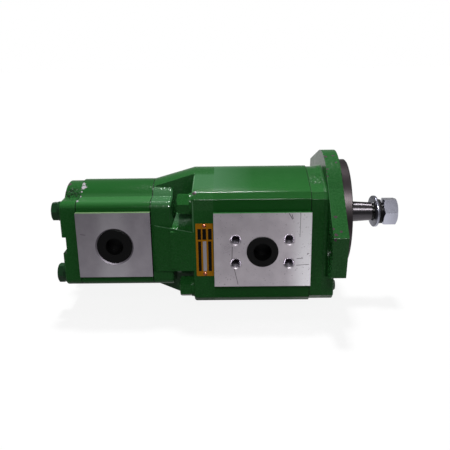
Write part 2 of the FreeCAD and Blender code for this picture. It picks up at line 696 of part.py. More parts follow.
def gear(spacing, x0, x1, z, first_tooth):
    """A spur gear along X. first_tooth is the angle of one tooth's middle from -Z."""
    module = spacing / TEETH
    pitch_r = spacing / 2
    tip_r = pitch_r + ADDENDUM_FACTOR * module
    root_r = pitch_r - DEDENDUM_FACTOR * module
    pressure = math.radians(PRESSURE_ANGLE)
    base_r = pitch_r * math.cos(pressure)
    start_r = max(base_r, root_r)
    half_pitch_angle = (math.pi * module / 2 - BACKLASH) / (2 * pitch_r)

    def half_angle(radius):
        """Half of the tooth's thickness at a radius, as an angle."""
        at = math.acos(min(1.0, base_r / radius))
        return half_pitch_angle + involute(pressure) - involute(at)

    def place(radius, angle):
        return V(x0, radius * math.sin(angle), z - radius * math.cos(angle))

    radii = [start_r + (tip_r - start_r) * k / FLANK_STEPS for k in range(FLANK_STEPS + 1)]
    edges = []
    for tooth in range(TEETH):
        middle = first_tooth + 2 * math.pi * tooth / TEETH
        following = middle + 2 * math.pi / TEETH
        rising = [place(r, middle - half_angle(r)) for r in radii]
        falling = [place(r, middle + half_angle(r)) for r in reversed(radii)]
        foot = half_angle(start_r)
        root_out = place(root_r, middle + foot)
        root_in = place(root_r, following - foot)
        flank = Part.BSplineCurve()
        flank.interpolate(rising)
        edges.append(flank.toShape())
        edges.append(arc(rising[-1], place(tip_r, middle), falling[0]))
        flank = Part.BSplineCurve()
        flank.interpolate(falling)
        edges.append(flank.toShape())
        edges.append(line(falling[-1], root_out))
        edges.append(arc(root_out, place(root_r, (middle + following) / 2), root_in))
        edges.append(line(root_in, place(start_r, following - foot)))
    return closed_face(edges).extrude(V(x1 - x0, 0, 0))


def spline_bar(x0, x1, grow):
    """A splined bar along X; grow widens it all round, for the matching hole."""
    outer = SPLINE_R + grow
    inner = SPLINE_R - SPLINE_DEPTH + grow
    pitch = 2 * math.pi / SPLINE_TEETH
    tip_half = pitch * SPLINE_TIP_SHARE / 2 + grow / outer
    foot_half = pitch * SPLINE_FOOT_SHARE / 2 + grow / inner

    def place(radius, angle):
        return V(x0, radius * math.sin(angle), radius * math.cos(angle))

    edges = []
    for tooth in range(SPLINE_TEETH):
        middle = tooth * pitch
        following = middle + pitch
        a, b = place(inner, middle - foot_half), place(outer, middle - tip_half)
        c, d = place(outer, middle + tip_half), place(inner, middle + foot_half)
        edges.append(line(a, b))
        edges.append(arc(b, place(outer, middle), c))
        edges.append(line(c, d))
        edges.append(arc(d, place(inner, middle + pitch / 2), place(inner, following - foot_half)))
    return closed_face(edges).extrude(V(x1 - x0, 0, 0))


def gear_span(front_x, rear_x, block_length):
    """The gear's two end planes between the bearing blocks."""
    return rear_x + block_length + SIDE_CLEARANCE, front_x - block_length - SIDE_CLEARANCE


def taper_radius(x):
    return TAPER_START_R - (x - TAPER_START) / (2 * TAPER_RATIO)


def key_disc(grow):
    """The round of the half-moon key below the shaft; grow widens it for its slot."""
    top = -(taper_radius(X_KEY) + KEY_PROUD)
    width = KEY_WIDTH + 2 * grow
    return Part.makeCylinder(KEY_R + grow, width, V(X_KEY, -width / 2, top + KEY_CUT), AXIS_Y)


def key_slot():
    """Cutter for the slot in the taper that the key sits in."""
    slot = key_disc(SEAT_CLEARANCE)
    slot.rotate(ORIGIN, AXIS_X, KEY_ANGLE)
    return slot


def shaft_key():
    """Half-moon key that stands out of the taper."""
    top = -(taper_radius(X_KEY) + KEY_PROUD)
    keep = block(X_KEY - 2 * KEY_R, X_KEY + 2 * KEY_R, -KEY_WIDTH, KEY_WIDTH, top, 0)
    key = key_disc(0).common(keep)
    key.rotate(ORIGIN, AXIS_X, KEY_ANGLE)
    return key


def front_drive_shaft():
    """Drive gear of the front pump in one piece with the tapered, threaded drive shaft."""
    g0, g1 = gear_span(X_COVER, X_FRONT_REAR, FRONT_BLOCK_LENGTH)
    pieces = [gear(FRONT_SPACING, g0, g1, 0, 0)]
    pieces.append(rod(FRONT_JOURNAL_R, X_FRONT_REAR + 1, TAPER_START))
    chamfer_x = TAPER_END - TAPER_CHAMFER
    chamfer_r = taper_radius(chamfer_x)
    pieces.append(cone(TAPER_START_R, chamfer_r, TAPER_START, chamfer_x))
    pieces.append(cone(chamfer_r, chamfer_r - TAPER_CHAMFER, chamfer_x, TAPER_END))
    thread = [(TAPER_END, 0), (TAPER_END, THREAD_R - THREAD_UNDERCUT),
              (TAPER_END + THREAD_UNDERCUT_LENGTH, THREAD_R - THREAD_UNDERCUT),
              (TAPER_END + THREAD_UNDERCUT_LENGTH, THREAD_R), (SHAFT_END - SHAFT_CHAMFER, THREAD_R),
              (SHAFT_END, THREAD_R - SHAFT_CHAMFER), (SHAFT_END, 0)]
    pieces.append(turned(thread))
    pieces.append(spline_bar(X_FRONT_REAR - FRONT_TAIL_LENGTH, X_FRONT_REAR + 2, 0))
    shaft = fuse(pieces)
    return shaft.cut(key_slot())


def rear_drive_shaft():
    """Drive gear of the rear pump with its splined nose."""
    g0, g1 = gear_span(X_ADAPTER_REAR, X_REAR_REAR, REAR_BLOCK_LENGTH)
    pieces = [gear(REAR_SPACING, g0, g1, 0, 0)]
    pieces.append(rod(REAR_JOURNAL_R, X_REAR_REAR + 1, X_ADAPTER_REAR - 1))
    pieces.append(spline_bar(X_ADAPTER_REAR - 2, X_ADAPTER_REAR + REAR_NOSE_LENGTH, 0))
    return fuse(pieces)


def driven_gear(spacing, front_x, rear_x, block_length, journal_r):
    """Driven gear with its two journals, half a tooth out of step with the drive gear."""
    g0, g1 = gear_span(front_x, rear_x, block_length)
    wheel = gear(spacing, g0, g1, -spacing, math.pi / TEETH)
    return fuse([wheel, rod(journal_r, rear_x + 1, front_x - 1, 0, -spacing)])


def coupling_sleeve():
    """Splined sleeve that joins the two drive shafts inside the adapter."""
    x1 = X_FRONT_REAR - SLEEVE_FRONT_GAP
    x0 = x1 - SLEEVE_LENGTH
    chamfer = SLEEVE_CHAMFER
    body = turned([(x0, 0), (x0, SLEEVE_R - chamfer), (x0 + chamfer, SLEEVE_R), (x1 - chamfer, SLEEVE_R),
                   (x1, SLEEVE_R - chamfer), (x1, 0)])
    return body.cut(spline_bar(x0 - 1, x1 + 1, SPLINE_CLEARANCE))


def bearing_block(spacing, chamber_r, journal_r, x0, x1, groove_x, groove_inward):
    """A bearing block: figure-eight outline, two bush bores and a seal groove behind it."""
    radius = chamber_r - BLOCK_CLEARANCE
    shape = figure_eight(radius, spacing, x0, x1)
    bore = journal_r + BEARING_CLEARANCE + BUSH_WALL
    tools = [rod(bore, x0 - PAST, x1 + PAST), rod(bore, x0 - PAST, x1 + PAST, 0, -spacing)]
    tools.append(pressure_band(spacing, chamber_r, groove_x, groove_inward, 0))
    return cut(shape, tools)


def pressure_band(spacing, chamber_r, face_x, inward, clearance):
    """The three-shaped seal behind a bearing block, or with no clearance its groove."""
    outer = chamber_r - PRESSURE_SEAL_MARGIN - clearance
    inner = chamber_r - PRESSURE_SEAL_MARGIN - PRESSURE_SEAL_WIDTH + clearance
    x1 = face_x + inward * (PRESSURE_SEAL_DEPTH - clearance)
    band = figure_eight(outer, spacing, face_x, x1)
    band = band.cut([rod(inner, face_x, x1), rod(inner, face_x, x1, 0, -spacing)])
    half = block(face_x, x1, clearance, outer + PAST, outer + PAST, -spacing - outer - PAST)
    return band.common(half)


def bushes(spacing, journal_r, spans):
    """Plain bearing bushes, one for each journal."""
    shapes = []
    for x0, x1 in spans:
        for z in (0, -spacing):
            inner = journal_r + BEARING_CLEARANCE
            outer = inner + BUSH_WALL - SEAT_CLEARANCE
            shapes.append(ring(outer, inner, x0, x1, 0, z))
    return shapes


def shaft_seal():
    """Lip seal: an outer case, a front flange and a lip that leans on to the shaft."""
    x0 = X_SEAL_BACK
    x1 = x0 + SEAL_THICKNESS - GROOVE_CLEARANCE
    outer = SEAL_BORE_R - SEAT_CLEARANCE
    case = outer - SEAL_WALL
    behind = x1 - SEAL_FLANGE
    lip = FRONT_JOURNAL_R + SEAL_LIP_CLEARANCE
    neck = lip + SEAL_LIP
    profile = [(x0, outer), (x0, case), (behind, case), (behind, lip + SEAL_FLANGE),
               (x0 + SEAL_LIP, neck + SEAL_LIP), (x0 + SEAL_LIP, neck), (x0 + 2 * SEAL_LIP, lip),
               (x0 + 3 * SEAL_LIP, neck), (x1, neck), (x1, outer)]
    return turned(profile)


def seal_retaining_ring():
    """Open spring ring with an eyed lug at each end."""
    x0 = X_SEAL_BACK + SEAL_THICKNESS
    x1 = x0 + RING_THICKNESS
    outer = RING_GROOVE_R - SEAT_CLEARANCE
    inner = outer - RING_WIDTH
    half = math.radians(RING_OPENING / 2)
    shape = ring(outer, inner, x0, x1)
    reach = 2 * outer
    gap = [V(x0, 0, 0), V(x0, -reach * math.sin(half), -reach * math.cos(half)),
           V(x0, reach * math.sin(half), -reach * math.cos(half))]
    wedge = Part.Face(Part.makePolygon(gap + gap[:1])).extrude(V(RING_THICKNESS, 0, 0))
    shape = shape.cut(wedge)
    lugs, eyes = [], []
    for side in (-1, 1):
        angle = half + RING_LUG_R / outer
        y, z = side * inner * math.sin(angle), -inner * math.cos(angle)
        lugs.append(rod(RING_LUG_R, x0, x1, y, z))
        eyes.append(rod(RING_EYE_R, x0 - 1, x1 + 1, y, z))
    return cut(fuse([shape] + lugs), eyes)


def front_plug(side):
    """Push-in plastic plug of a flanged port: a thin disc and a hollow stem."""
    face = FRONT_PAD_Y
    top = face + FRONT_PLUG_DISC_THICKNESS
    stem = FRONT_PORT_R - PLUG_BODY_CLEARANCE
    inner = stem - PLUG_WALL
    low = face - FRONT_PLUG_DEPTH
    profile = [(top, inner), (top, FRONT_PLUG_DISC_R - PLUG_EDGE), (top - PLUG_EDGE, FRONT_PLUG_DISC_R),
               (face, FRONT_PLUG_DISC_R), (face, stem), (low, stem - PLUG_PULL_TAPER), (low, 0),
               (low + PLUG_FLOOR, 0), (low + PLUG_FLOOR, inner - PLUG_PULL_TAPER)]
    return turned_across(profile, side, X_FRONT_PORT, Z_FRONT_MID)


def rear_plug(side):
    """Plastic plug that fills a threaded port, with a round recess to grip it by."""
    top = REAR_PAD_Y - REAR_PLUG_SINK
    low = top - REAR_PLUG_DEPTH
    outer = REAR_PORT_R - PLUG_BODY_CLEARANCE
    profile = [(top, REAR_PLUG_RECESS_R), (top, outer - PLUG_EDGE), (top - PLUG_EDGE, outer),
               (low, outer), (low, 0), (low + PLUG_FLOOR, 0),
               (low + PLUG_FLOOR, REAR_PLUG_RECESS_R - PLUG_PULL_TAPER)]
    return turned_across(profile, side, X_REAR_PORT, Z_REAR_MID)


def nameplate():
    """Thin data plate with a hole for a drive screw at each end."""
    y = -FRONT_HALF_WIDTH
    plate = block(X_PLATE - PLATE_WIDTH / 2, X_PLATE + PLATE_WIDTH / 2, y, y - PLATE_THICKNESS,
                  Z_FRONT_MID - PLATE_LENGTH / 2, Z_FRONT_MID + PLATE_LENGTH / 2)
    across = [e for e in plate.Edges if abs(e.Vertexes[0].Point.y - e.Vertexes[-1].Point.y) > 1e-6]
    plate = plate.makeFillet(PLATE_CORNER_R, across)
    holes = []
    for z in (-1, 1):
        holes.append(cross_rod(RIVET_R, -1, FRONT_HALF_WIDTH - 1, FRONT_HALF_WIDTH + 2,
                               X_PLATE, Z_FRONT_MID + z * RIVET_SPACING / 2))
    return cut(plate, holes)


def nameplate_rivets():
    """Round-headed drive screws of the data plate."""
    seat = FRONT_HALF_WIDTH + PLATE_THICKNESS
    top = seat + RIVET_HEAD_HEIGHT
    shank = RIVET_R - SEAT_CLEARANCE
    end = FRONT_HALF_WIDTH - RIVET_LENGTH + RIVET_RUN_OUT
    profile = [(top, 0), (top, RIVET_CROWN_R), (seat + RIVET_HEAD_HEIGHT / 2, RIVET_SHOULDER_R),
               (seat, RIVET_HEAD_R), (seat, shank), (end, shank), (end, 0)]
    return [turned_across(profile, -1, X_PLATE, Z_FRONT_MID + up * RIVET_SPACING / 2) for up in (-1, 1)]


def shaft_washer():
    """Flat washer that sits loose and a little askew behind the spring washer."""
    half = WASHER_THICKNESS / 2
    shape = ring(WASHER_R, WASHER_BORE_R, X_WASHER - half, X_WASHER + half)
    shape.rotate(V(X_WASHER, 0, 0), AXIS_Z, WASHER_TURN)
    return shape


def spring_washer():
    """Split spring washer: one turn of square wire with its ends apart."""
    inner = THREAD_R + SPRING_WASHER_PLAY
    turn = 360.0 - SPRING_WASHER_GAP
    tilt = SPRING_WASHER_R * math.tan(math.radians(SPRING_WASHER_LEAN))
    x0 = X_NUT - SPRING_WASHER_THICKNESS - SPRING_WASHER_RISE - tilt - THREAD_CLEARANCE
    middle_r = (inner + SPRING_WASHER_R) / 2

    def out(share):
        """The direction from the shaft at a share of the turn, which starts at the bottom."""
        angle = math.radians(-90 + SPRING_WASHER_GAP / 2 + turn * share)
        return V(0, math.cos(angle), math.sin(angle))

    corners = [out(0) * radius + V(x, 0, 0)
               for x, radius in ((x0, inner), (x0, SPRING_WASHER_R),
                                 (x0 + SPRING_WASHER_THICKNESS, SPRING_WASHER_R),
                                 (x0 + SPRING_WASHER_THICKNESS, inner))]
    wire = Part.makePolygon(corners + corners[:1])
    middle_x = x0 + SPRING_WASHER_THICKNESS / 2
    shares = [k / SPRING_WASHER_STEPS for k in range(SPRING_WASHER_STEPS + 1)]
    spine = Part.BSplineCurve()
    spine.interpolate([out(share) * middle_r + V(middle_x + SPRING_WASHER_RISE * share, 0, 0)
                       for share in shares])
    pipe = Part.BRepOffsetAPI.MakePipeShell(Part.Wire(spine.toShape()))
    pipe.setBiNormalMode(AXIS_X)
    pipe.add(wire)
    pipe.build()
    pipe.makeSolid()
    shape = pipe.shape()
    shape.rotate(V(X_NUT - tilt, 0, 0), AXIS_Y, -SPRING_WASHER_LEAN)
    return shape


def shaft_nut():
    """Hexagon nut on the end of the drive shaft."""
    shape = hex_body(NUT_FLATS, X_NUT, X_NUT + NUT_LENGTH, 0, 0, NUT_TURN, True, True)
    bore = rod(THREAD_R + THREAD_CLEARANCE, X_NUT - 1, X_NUT + NUT_LENGTH + 1)
    return shape.cut(bore)


def clamp_studs():
    """Four long studs from the nut pockets to the front cover."""
    x0 = X_FLANGE_REAR - STUD_WASHER_THICKNESS - STUD_NUT_LENGTH - STUD_REAR_PROUD
    x1 = -LOBE_SETBACK + STUD_FRONT_PROUD
    chamfer = STUD_CHAMFER
    profile = [(x0, 0), (x0, STUD_R - chamfer), (x0 + chamfer, STUD_R), (x1 - chamfer, STUD_R),
               (x1, STUD_R - chamfer), (x1, 0)]
    return [turned(profile, y, z) for y, z in STUD_PLACES]


def clamp_nuts():
    """The studs' nuts, in the adapter's pockets."""
    shapes = []
    x1 = X_FLANGE_REAR - STUD_WASHER_THICKNESS
    x0 = x1 - STUD_NUT_LENGTH
    for (y, z), turn in zip(STUD_PLACES, STUD_NUT_TURNS):
        nut = hex_body(STUD_NUT_FLATS, x0, x1, y, z, turn, True, False)
        shapes.append(nut.cut(rod(STUD_R + THREAD_CLEARANCE, x0 - 1, x1 + 1, y, z)))
    return shapes


def clamp_washers():
    """A plain washer under each stud's nut."""
    x1 = X_FLANGE_REAR
    x0 = x1 - STUD_WASHER_THICKNESS
    return [ring(STUD_WASHER_R, STUD_R + FASTENER_CLEARANCE, x0, x1, y, z) for y, z in STUD_PLACES]


def rear_cover_bolts():
    """Four hexagon bolts through the rear cover and body into the adapter."""
    shapes = []
    seat = X_TAIL - REAR_WASHER_THICKNESS
    end = X_ADAPTER_REAR + REAR_BOLT_REACH
    for (y, z), turn in zip(REAR_BOLT_PLACES, REAR_BOLT_TURNS):
        head = hex_body(REAR_BOLT_FLATS, seat - REAR_BOLT_HEAD, seat, y, z, turn, True, False)
        shank = turned([(seat - 1, 0), (seat - 1, REAR_BOLT_R), (end - 1, REAR_BOLT_R),
                        (end, REAR_BOLT_R - 1), (end, 0)], y, z)
        shapes.append(fuse([head, shank]))
    return shapes


def rear_bolt_washers():
    """A thick washer under each rear bolt's head."""
    x0 = X_TAIL - REAR_WASHER_THICKNESS
    bore = REAR_BOLT_R + FASTENER_CLEARANCE
    return [ring(REAR_WASHER_R, bore, x0, X_TAIL, y, z) for y, z in REAR_BOLT_PLACES]


def dowels(places, faces):
    """Plain dowels across the joint faces."""
    half = DOWEL_LENGTH / 2
    return [rod(DOWEL_R, x - half, x + half, y, z) for x in faces for y, z in places]


def front_block(front):
    """One of the front pump's two bearing blocks."""
    if front:
        span = (X_COVER - FRONT_BLOCK_LENGTH, X_COVER, X_COVER, -1)
    else:
        span = (X_FRONT_REAR, X_FRONT_REAR + FRONT_BLOCK_LENGTH, X_FRONT_REAR, 1)
    return bearing_block(FRONT_SPACING, FRONT_CHAMBER_R, FRONT_JOURNAL_R, *span)


def rear_block(front):
    """One of the rear pump's two bearing blocks."""
    if front:
        span = (X_ADAPTER_REAR - REAR_BLOCK_LENGTH, X_ADAPTER_REAR, X_ADAPTER_REAR, -1)
    else:
        span = (X_REAR_REAR, X_REAR_REAR + REAR_BLOCK_LENGTH, X_REAR_REAR, 1)
    return bearing_block(REAR_SPACING, REAR_CHAMBER_R, REAR_JOURNAL_R, *span)


def pressure_seals(spacing, chamber_r, front_x, rear_x):
    """The pressure seals behind both bearing blocks of one pump."""
    return [pressure_band(spacing, chamber_r, front_x, -1, GROOVE_CLEARANCE),
            pressure_band(spacing, chamber_r, rear_x, 1, GROOVE_CLEARANCE)]


def block_spans(front_x, rear_x, length):
    return [(front_x - length, front_x), (rear_x, rear_x + length)]


def build():
    """Every node of the pump, by name."""
    front_spans = block_spans(X_COVER, X_FRONT_REAR, FRONT_BLOCK_LENGTH)
    rear_spans = block_spans(X_ADAPTER_REAR, X_REAR_REAR, REAR_BLOCK_LENGTH)
    return {
        "front_cover": front_cover(),
        "front_pump_body": front_body(),
        "adapter_housing": adapter_housing(),
        "rear_pump_body": rear_body(),
        "rear_cover": rear_cover(),
        "front_drive_shaft": front_drive_shaft(),
        "front_driven_gear": driven_gear(FRONT_SPACING, X_COVER, X_FRONT_REAR, FRONT_BLOCK_LENGTH,
                                         FRONT_JOURNAL_R),
        "rear_drive_shaft": rear_drive_shaft(),
        "rear_driven_gear": driven_gear(REAR_SPACING, X_ADAPTER_REAR, X_REAR_REAR, REAR_BLOCK_LENGTH,
                                        REAR_JOURNAL_R),
        "coupling_sleeve": coupling_sleeve(),
        "shaft_key": shaft_key(),
        "shaft_washer": shaft_washer(),
        "spring_washer": spring_washer(),
        "shaft_nut": shaft_nut(),
        "front_pump_front_bearing_block": front_block(True),
        "front_pump_rear_bearing_block": front_block(False),
        "rear_pump_front_bearing_block": rear_block(True),
        "rear_pump_rear_bearing_block": rear_block(False),
        "front_pump_bushes": bushes(FRONT_SPACING, FRONT_JOURNAL_R, front_spans),
        "rear_pump_bushes": bushes(REAR_SPACING, REAR_JOURNAL_R, rear_spans),
        "front_pump_pressure_seals": pressure_seals(FRONT_SPACING, FRONT_CHAMBER_R, X_COVER, X_FRONT_REAR),
        "rear_pump_pressure_seals": pressure_seals(REAR_SPACING, REAR_CHAMBER_R, X_ADAPTER_REAR, X_REAR_REAR),
        "front_cover_seal": seal_ring(FRONT_CHAMBER_R, FRONT_SPACING, X_COVER, 1),
        "adapter_front_seal": seal_ring(FRONT_CHAMBER_R, FRONT_SPACING, X_FRONT_REAR, -1),
        "adapter_rear_seal": seal_ring(REAR_CHAMBER_R, REAR_SPACING, X_ADAPTER_REAR, 1),
        "rear_cover_seal": seal_ring(REAR_CHAMBER_R, REAR_SPACING, X_REAR_REAR, -1),
        "shaft_seal": shaft_seal(),
        "seal_retaining_ring": seal_retaining_ring(),
        "front_dowels": dowels(FRONT_DOWEL_PLACES, (X_COVER, X_FRONT_REAR)),
        "rear_dowels": dowels(REAR_DOWEL_PLACES, (X_ADAPTER_REAR, X_REAR_REAR)),
        "clamp_studs": clamp_studs(),
        "clamp_nuts": clamp_nuts(),
        "clamp_washers": clamp_washers(),
        "rear_cover_bolts": rear_cover_bolts(),
        "rear_bolt_washers": rear_bolt_washers(),
        "nameplate": nameplate(),
        "nameplate_rivets": nameplate_rivets(),
        "front_near_port_plug": front_plug(-1),
        "front_far_port_plug": front_plug(1),
        "rear_near_port_plug": rear_plug(-1),
        "rear_far_port_plug": rear_plug(1),
    }


def solids_of(shape):
    """The separate solids of a node as one shape for its file."""
    shapes = shape if isinstance(shape, list) else [shape]
    solids = [solid for item in shapes for solid in item.Solids]
    return solids[0] if len(solids) == 1 else Part.makeCompound(solids)


os.makedirs("parts", exist_ok=True)
for name, shape in build().items():
    node = solids_of(shape)
    node.exportStep(os.path.join("parts", name + ".step"))
    print(name, len(node.Solids), round(node.Volume), node.isValid())
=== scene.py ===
# %% [markdown]
# # A tandem hydraulic gear pump, dressed
#
# The pump's metal parts are already modelled at their real size, and this lesson gives them their finish.
# Loading comes first, because every later cell reads places and sizes from the loaded parts.

# %% Load the pump
import json
import math

import bmesh
import bpy
from mathutils import Matrix, Vector


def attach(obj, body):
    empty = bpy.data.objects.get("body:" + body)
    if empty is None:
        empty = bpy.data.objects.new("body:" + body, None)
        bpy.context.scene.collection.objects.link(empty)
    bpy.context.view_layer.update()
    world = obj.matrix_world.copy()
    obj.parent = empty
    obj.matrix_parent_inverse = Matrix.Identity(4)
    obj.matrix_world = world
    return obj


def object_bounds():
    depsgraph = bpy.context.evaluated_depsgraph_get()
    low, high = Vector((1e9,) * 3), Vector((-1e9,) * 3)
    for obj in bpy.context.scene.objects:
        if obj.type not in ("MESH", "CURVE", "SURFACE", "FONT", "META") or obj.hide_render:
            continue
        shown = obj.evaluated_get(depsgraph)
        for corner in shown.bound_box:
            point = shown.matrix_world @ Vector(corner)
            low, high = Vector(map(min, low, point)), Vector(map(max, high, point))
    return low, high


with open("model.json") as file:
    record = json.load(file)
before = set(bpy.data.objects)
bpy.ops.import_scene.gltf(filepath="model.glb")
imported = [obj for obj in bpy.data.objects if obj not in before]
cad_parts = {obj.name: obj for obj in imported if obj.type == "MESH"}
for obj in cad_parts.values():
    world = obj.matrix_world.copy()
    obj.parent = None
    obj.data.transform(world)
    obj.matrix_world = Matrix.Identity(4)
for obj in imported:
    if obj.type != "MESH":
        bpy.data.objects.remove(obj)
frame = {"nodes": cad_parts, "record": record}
cad_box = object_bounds()
nodes = frame["nodes"]
MM = 0.001
print("parts loaded:", len(nodes), "size in mm:", [round(c / MM, 1) for c in cad_box[1] - cad_box[0]])

# %% [markdown]
# ## Colour and node helpers
#
# A paint maker writes colours as hex values for a screen. A renderer counts light instead, so each hex value
# goes through one conversion. Materials are small trees of nodes, and a single function that adds a node with
# its settings and its links keeps each tree short enough to read. Every pattern is worked out in millimetres
# from the pump's own origin, so a scale in a node is a real size on the pump.
#
# Some sockets are known by number only. A Map Range node takes a value in socket 0, the range it comes from
# in 1 and 2, and the range it goes to in 3 and 4. A Mix node mixes numbers and colours in different sockets.

# %% Colour and node helpers
NUMBER_A, NUMBER_B = 2, 3
COLOUR_A, COLOUR_B = 6, 7
MIXED_COLOUR = 2


def colour(hex_value):
    """A screen colour such as 1C5A22 as linear red, green, blue and alpha."""
    parts = [int(hex_value[i:i + 2], 16) / 255 for i in (0, 2, 4)]
    linear = [p / 12.92 if p <= 0.04045 else ((p + 0.055) / 1.055) ** 2.4 for p in parts]
    return (*linear, 1.0)


def put(tree, socket, value):
    """Gives a socket a fixed value, or links it when the value is another node's output."""
    if isinstance(value, bpy.types.NodeSocket):
        tree.links.new(value, socket)
    else:
        socket.default_value = value


def add(tree, kind, inputs=None, **settings):
    """Adds one node; inputs maps a socket to a value or to another node's output."""
    made = tree.nodes.new("ShaderNode" + kind)
    for name, value in settings.items():
        setattr(made, name, value)
    for socket, value in (inputs or {}).items():
        put(tree, made.inputs[socket], value)
    return made


def new_material(name):
    """An empty material: itself, its tree, its principled shader and the place on the pump in millimetres."""
    material = bpy.data.materials.new(name)
    material.use_nodes = True
    tree = material.node_tree
    tree.nodes.clear()
    shader = add(tree, "BsdfPrincipled")
    add(tree, "OutputMaterial", {"Surface": shader.outputs[0]})
    place = add(tree, "TexCoord").outputs["Object"]
    mm = add(tree, "VectorMath", {0: place, "Scale": 1 / MM}, operation="SCALE").outputs[0]
    return material, tree, shader, mm


def sideways(tree, mm):
    """How far a place lies to either side of the pump's upright middle plane, which is |y| in mm."""
    y = add(tree, "SeparateXYZ", {0: mm}).outputs["Y"]
    return add(tree, "Math", {0: y}, operation="ABSOLUTE").outputs[0]


print("helpers ready")

# %% [markdown]
# ## Layers of finish
#
# A worn machine part is read in layers: bare metal, paint over it, then dirt in the joints and chips where
# something hit it. Each layer here is a colour, a share of metal and a roughness, laid over the one below by
# a mask. Laying values over each other keeps a single shader, which other programs understand as well. A value
# that is the same in both layers stays a plain number.

# %% Layers of finish
def lay(tree, below, mask, above):
    """One finish over another. A finish is its colour, its share of metal and its roughness."""
    tints = {"Factor": mask, COLOUR_A: below[0], COLOUR_B: above[0]}
    finish = [add(tree, "Mix", tints, data_type="RGBA").outputs[MIXED_COLOUR]]
    for under, over in zip(below[1:], above[1:]):
        if isinstance(under, float) and under == over:
            finish.append(under)
        else:
            finish.append(add(tree, "Mix", {"Factor": mask, NUMBER_A: under, NUMBER_B: over}).outputs[0])
    return tuple(finish)


def wear(tree, shader, finish, height):
    """Gives the finished layers to the shader, with a relief whose height is in millimetres."""
    for socket, value in zip(("Base Color", "Metallic", "Roughness"), finish):
        put(tree, shader.inputs[socket], value)
    bump = add(tree, "Bump", {"Height": height, "Distance": MM})
    put(tree, shader.inputs["Normal"], bump.outputs[0])


def relief(tree, mm, parts):
    """The sum of several noises. Each is its grain in mm, its height in mm and how it stretches."""
    total = 0.0
    for grain, height, stretch in parts:
        spot = add(tree, "VectorMath", {0: mm, 1: stretch}, operation="MULTIPLY").outputs[0]
        noise = add(tree, "TexNoise", {"Vector": spot, "Scale": 1 / grain, "Detail": 2.0}).outputs["Fac"]
        total = add(tree, "Math", {0: noise, 1: height, 2: total}, operation="MULTIPLY_ADD").outputs[0]
    return total


EVEN = (1.0, 1.0, 1.0)
ALONG_SHAFT = (0.02, 1.0, 1.0)
ROUND_SHAFT = (1.0, 0.05, 0.05)
print("layers ready")

# %% [markdown]
# ## Masks
#
# A chip has a ragged edge, a joint is a thin plane across the shaft, a scratch is a straight line and a printed
# field is a rectangle. Four masks cover them. They are made from distances and not from pictures, so they stay
# sharp from any distance.
#
# A chip's edge is ragged because a noise is added to the distance from its middle. Where the noise is 0.5, the
# edge is one radius away, and it moves in and out by about half a radius.

# %% Masks
# The grain of a chip's edge in mm, how strongly it moves the edge, and how far the edge may reach, in radii.
RAGGED_MM, RAGGED_SHARE = 1.3, 3.0
REACH = 1.0 + RAGGED_SHARE / 2
# Half the width of the grime in a joint, in mm.
JOINT_HALF_MM = 0.35


def spots(tree, mm, places):
    """1 within each place's ragged edge; a place is x, y, z and radius in mm."""
    rag = add(tree, "TexNoise", {"Vector": mm, "Scale": 1 / RAGGED_MM, "Detail": 3.0}).outputs["Fac"]
    total = 0.0
    for x, y, z, radius in places:
        away = add(tree, "VectorMath", {0: mm, 1: (x, y, z)}, operation="DISTANCE").outputs["Value"]
        edge = add(tree, "Math", {0: rag, 1: RAGGED_SHARE * radius, 2: away}, operation="MULTIPLY_ADD")
        inside = add(tree, "Math", {0: edge.outputs[0], 1: REACH * radius}, operation="LESS_THAN").outputs[0]
        total = add(tree, "Math", {0: inside, 1: total}, operation="MAXIMUM").outputs[0]
    return total


def joints(tree, mm, stations):
    """1 close to each joint plane across the shaft; the stations are x in mm."""
    x = add(tree, "SeparateXYZ", {0: mm}).outputs["X"]
    total = 0.0
    for station in stations:
        close = add(tree, "Math", {0: x, 1: station, 2: JOINT_HALF_MM}, operation="COMPARE").outputs[0]
        total = add(tree, "Math", {0: close, 1: total}, operation="MAXIMUM").outputs[0]
    return total


def straight_marks(tree, mm, lines):
    """1 along each straight mark; a mark is its two ends, as x, y, z in mm, and half its width in mm."""
    total = 0.0
    for start, end, half in lines:
        run = Vector(end) - Vector(start)
        from_start = add(tree, "VectorMath", {0: mm, 1: start}, operation="SUBTRACT").outputs[0]
        share = add(tree, "VectorMath", {0: from_start, 1: run / run.length_squared}, operation="DOT_PRODUCT")
        held = add(tree, "Clamp", {0: share.outputs["Value"]}).outputs[0]
        foot = add(tree, "VectorMath", {0: run, "Scale": held}, operation="SCALE").outputs[0]
        away = add(tree, "VectorMath", {0: from_start, 1: foot}, operation="DISTANCE").outputs["Value"]
        inside = add(tree, "Math", {0: away, 1: half}, operation="LESS_THAN").outputs[0]
        total = add(tree, "Math", {0: inside, 1: total}, operation="MAXIMUM").outputs[0]
    return total


def field(tree, mm, x0, x1, z0, z1):
    """1 inside an upright rectangle on the pump's side, in mm."""
    axes = add(tree, "SeparateXYZ", {0: mm}).outputs
    across, upright = [
        add(tree, "Math", {0: axes[axis], 1: (a + b) / 2, 2: abs(b - a) / 2}, operation="COMPARE").outputs[0]
        for axis, a, b in (("X", x0, x1), ("Z", z0, z1))]
    return add(tree, "Math", {0: across, 1: upright}, operation="MULTIPLY").outputs[0]


print("masks ready")
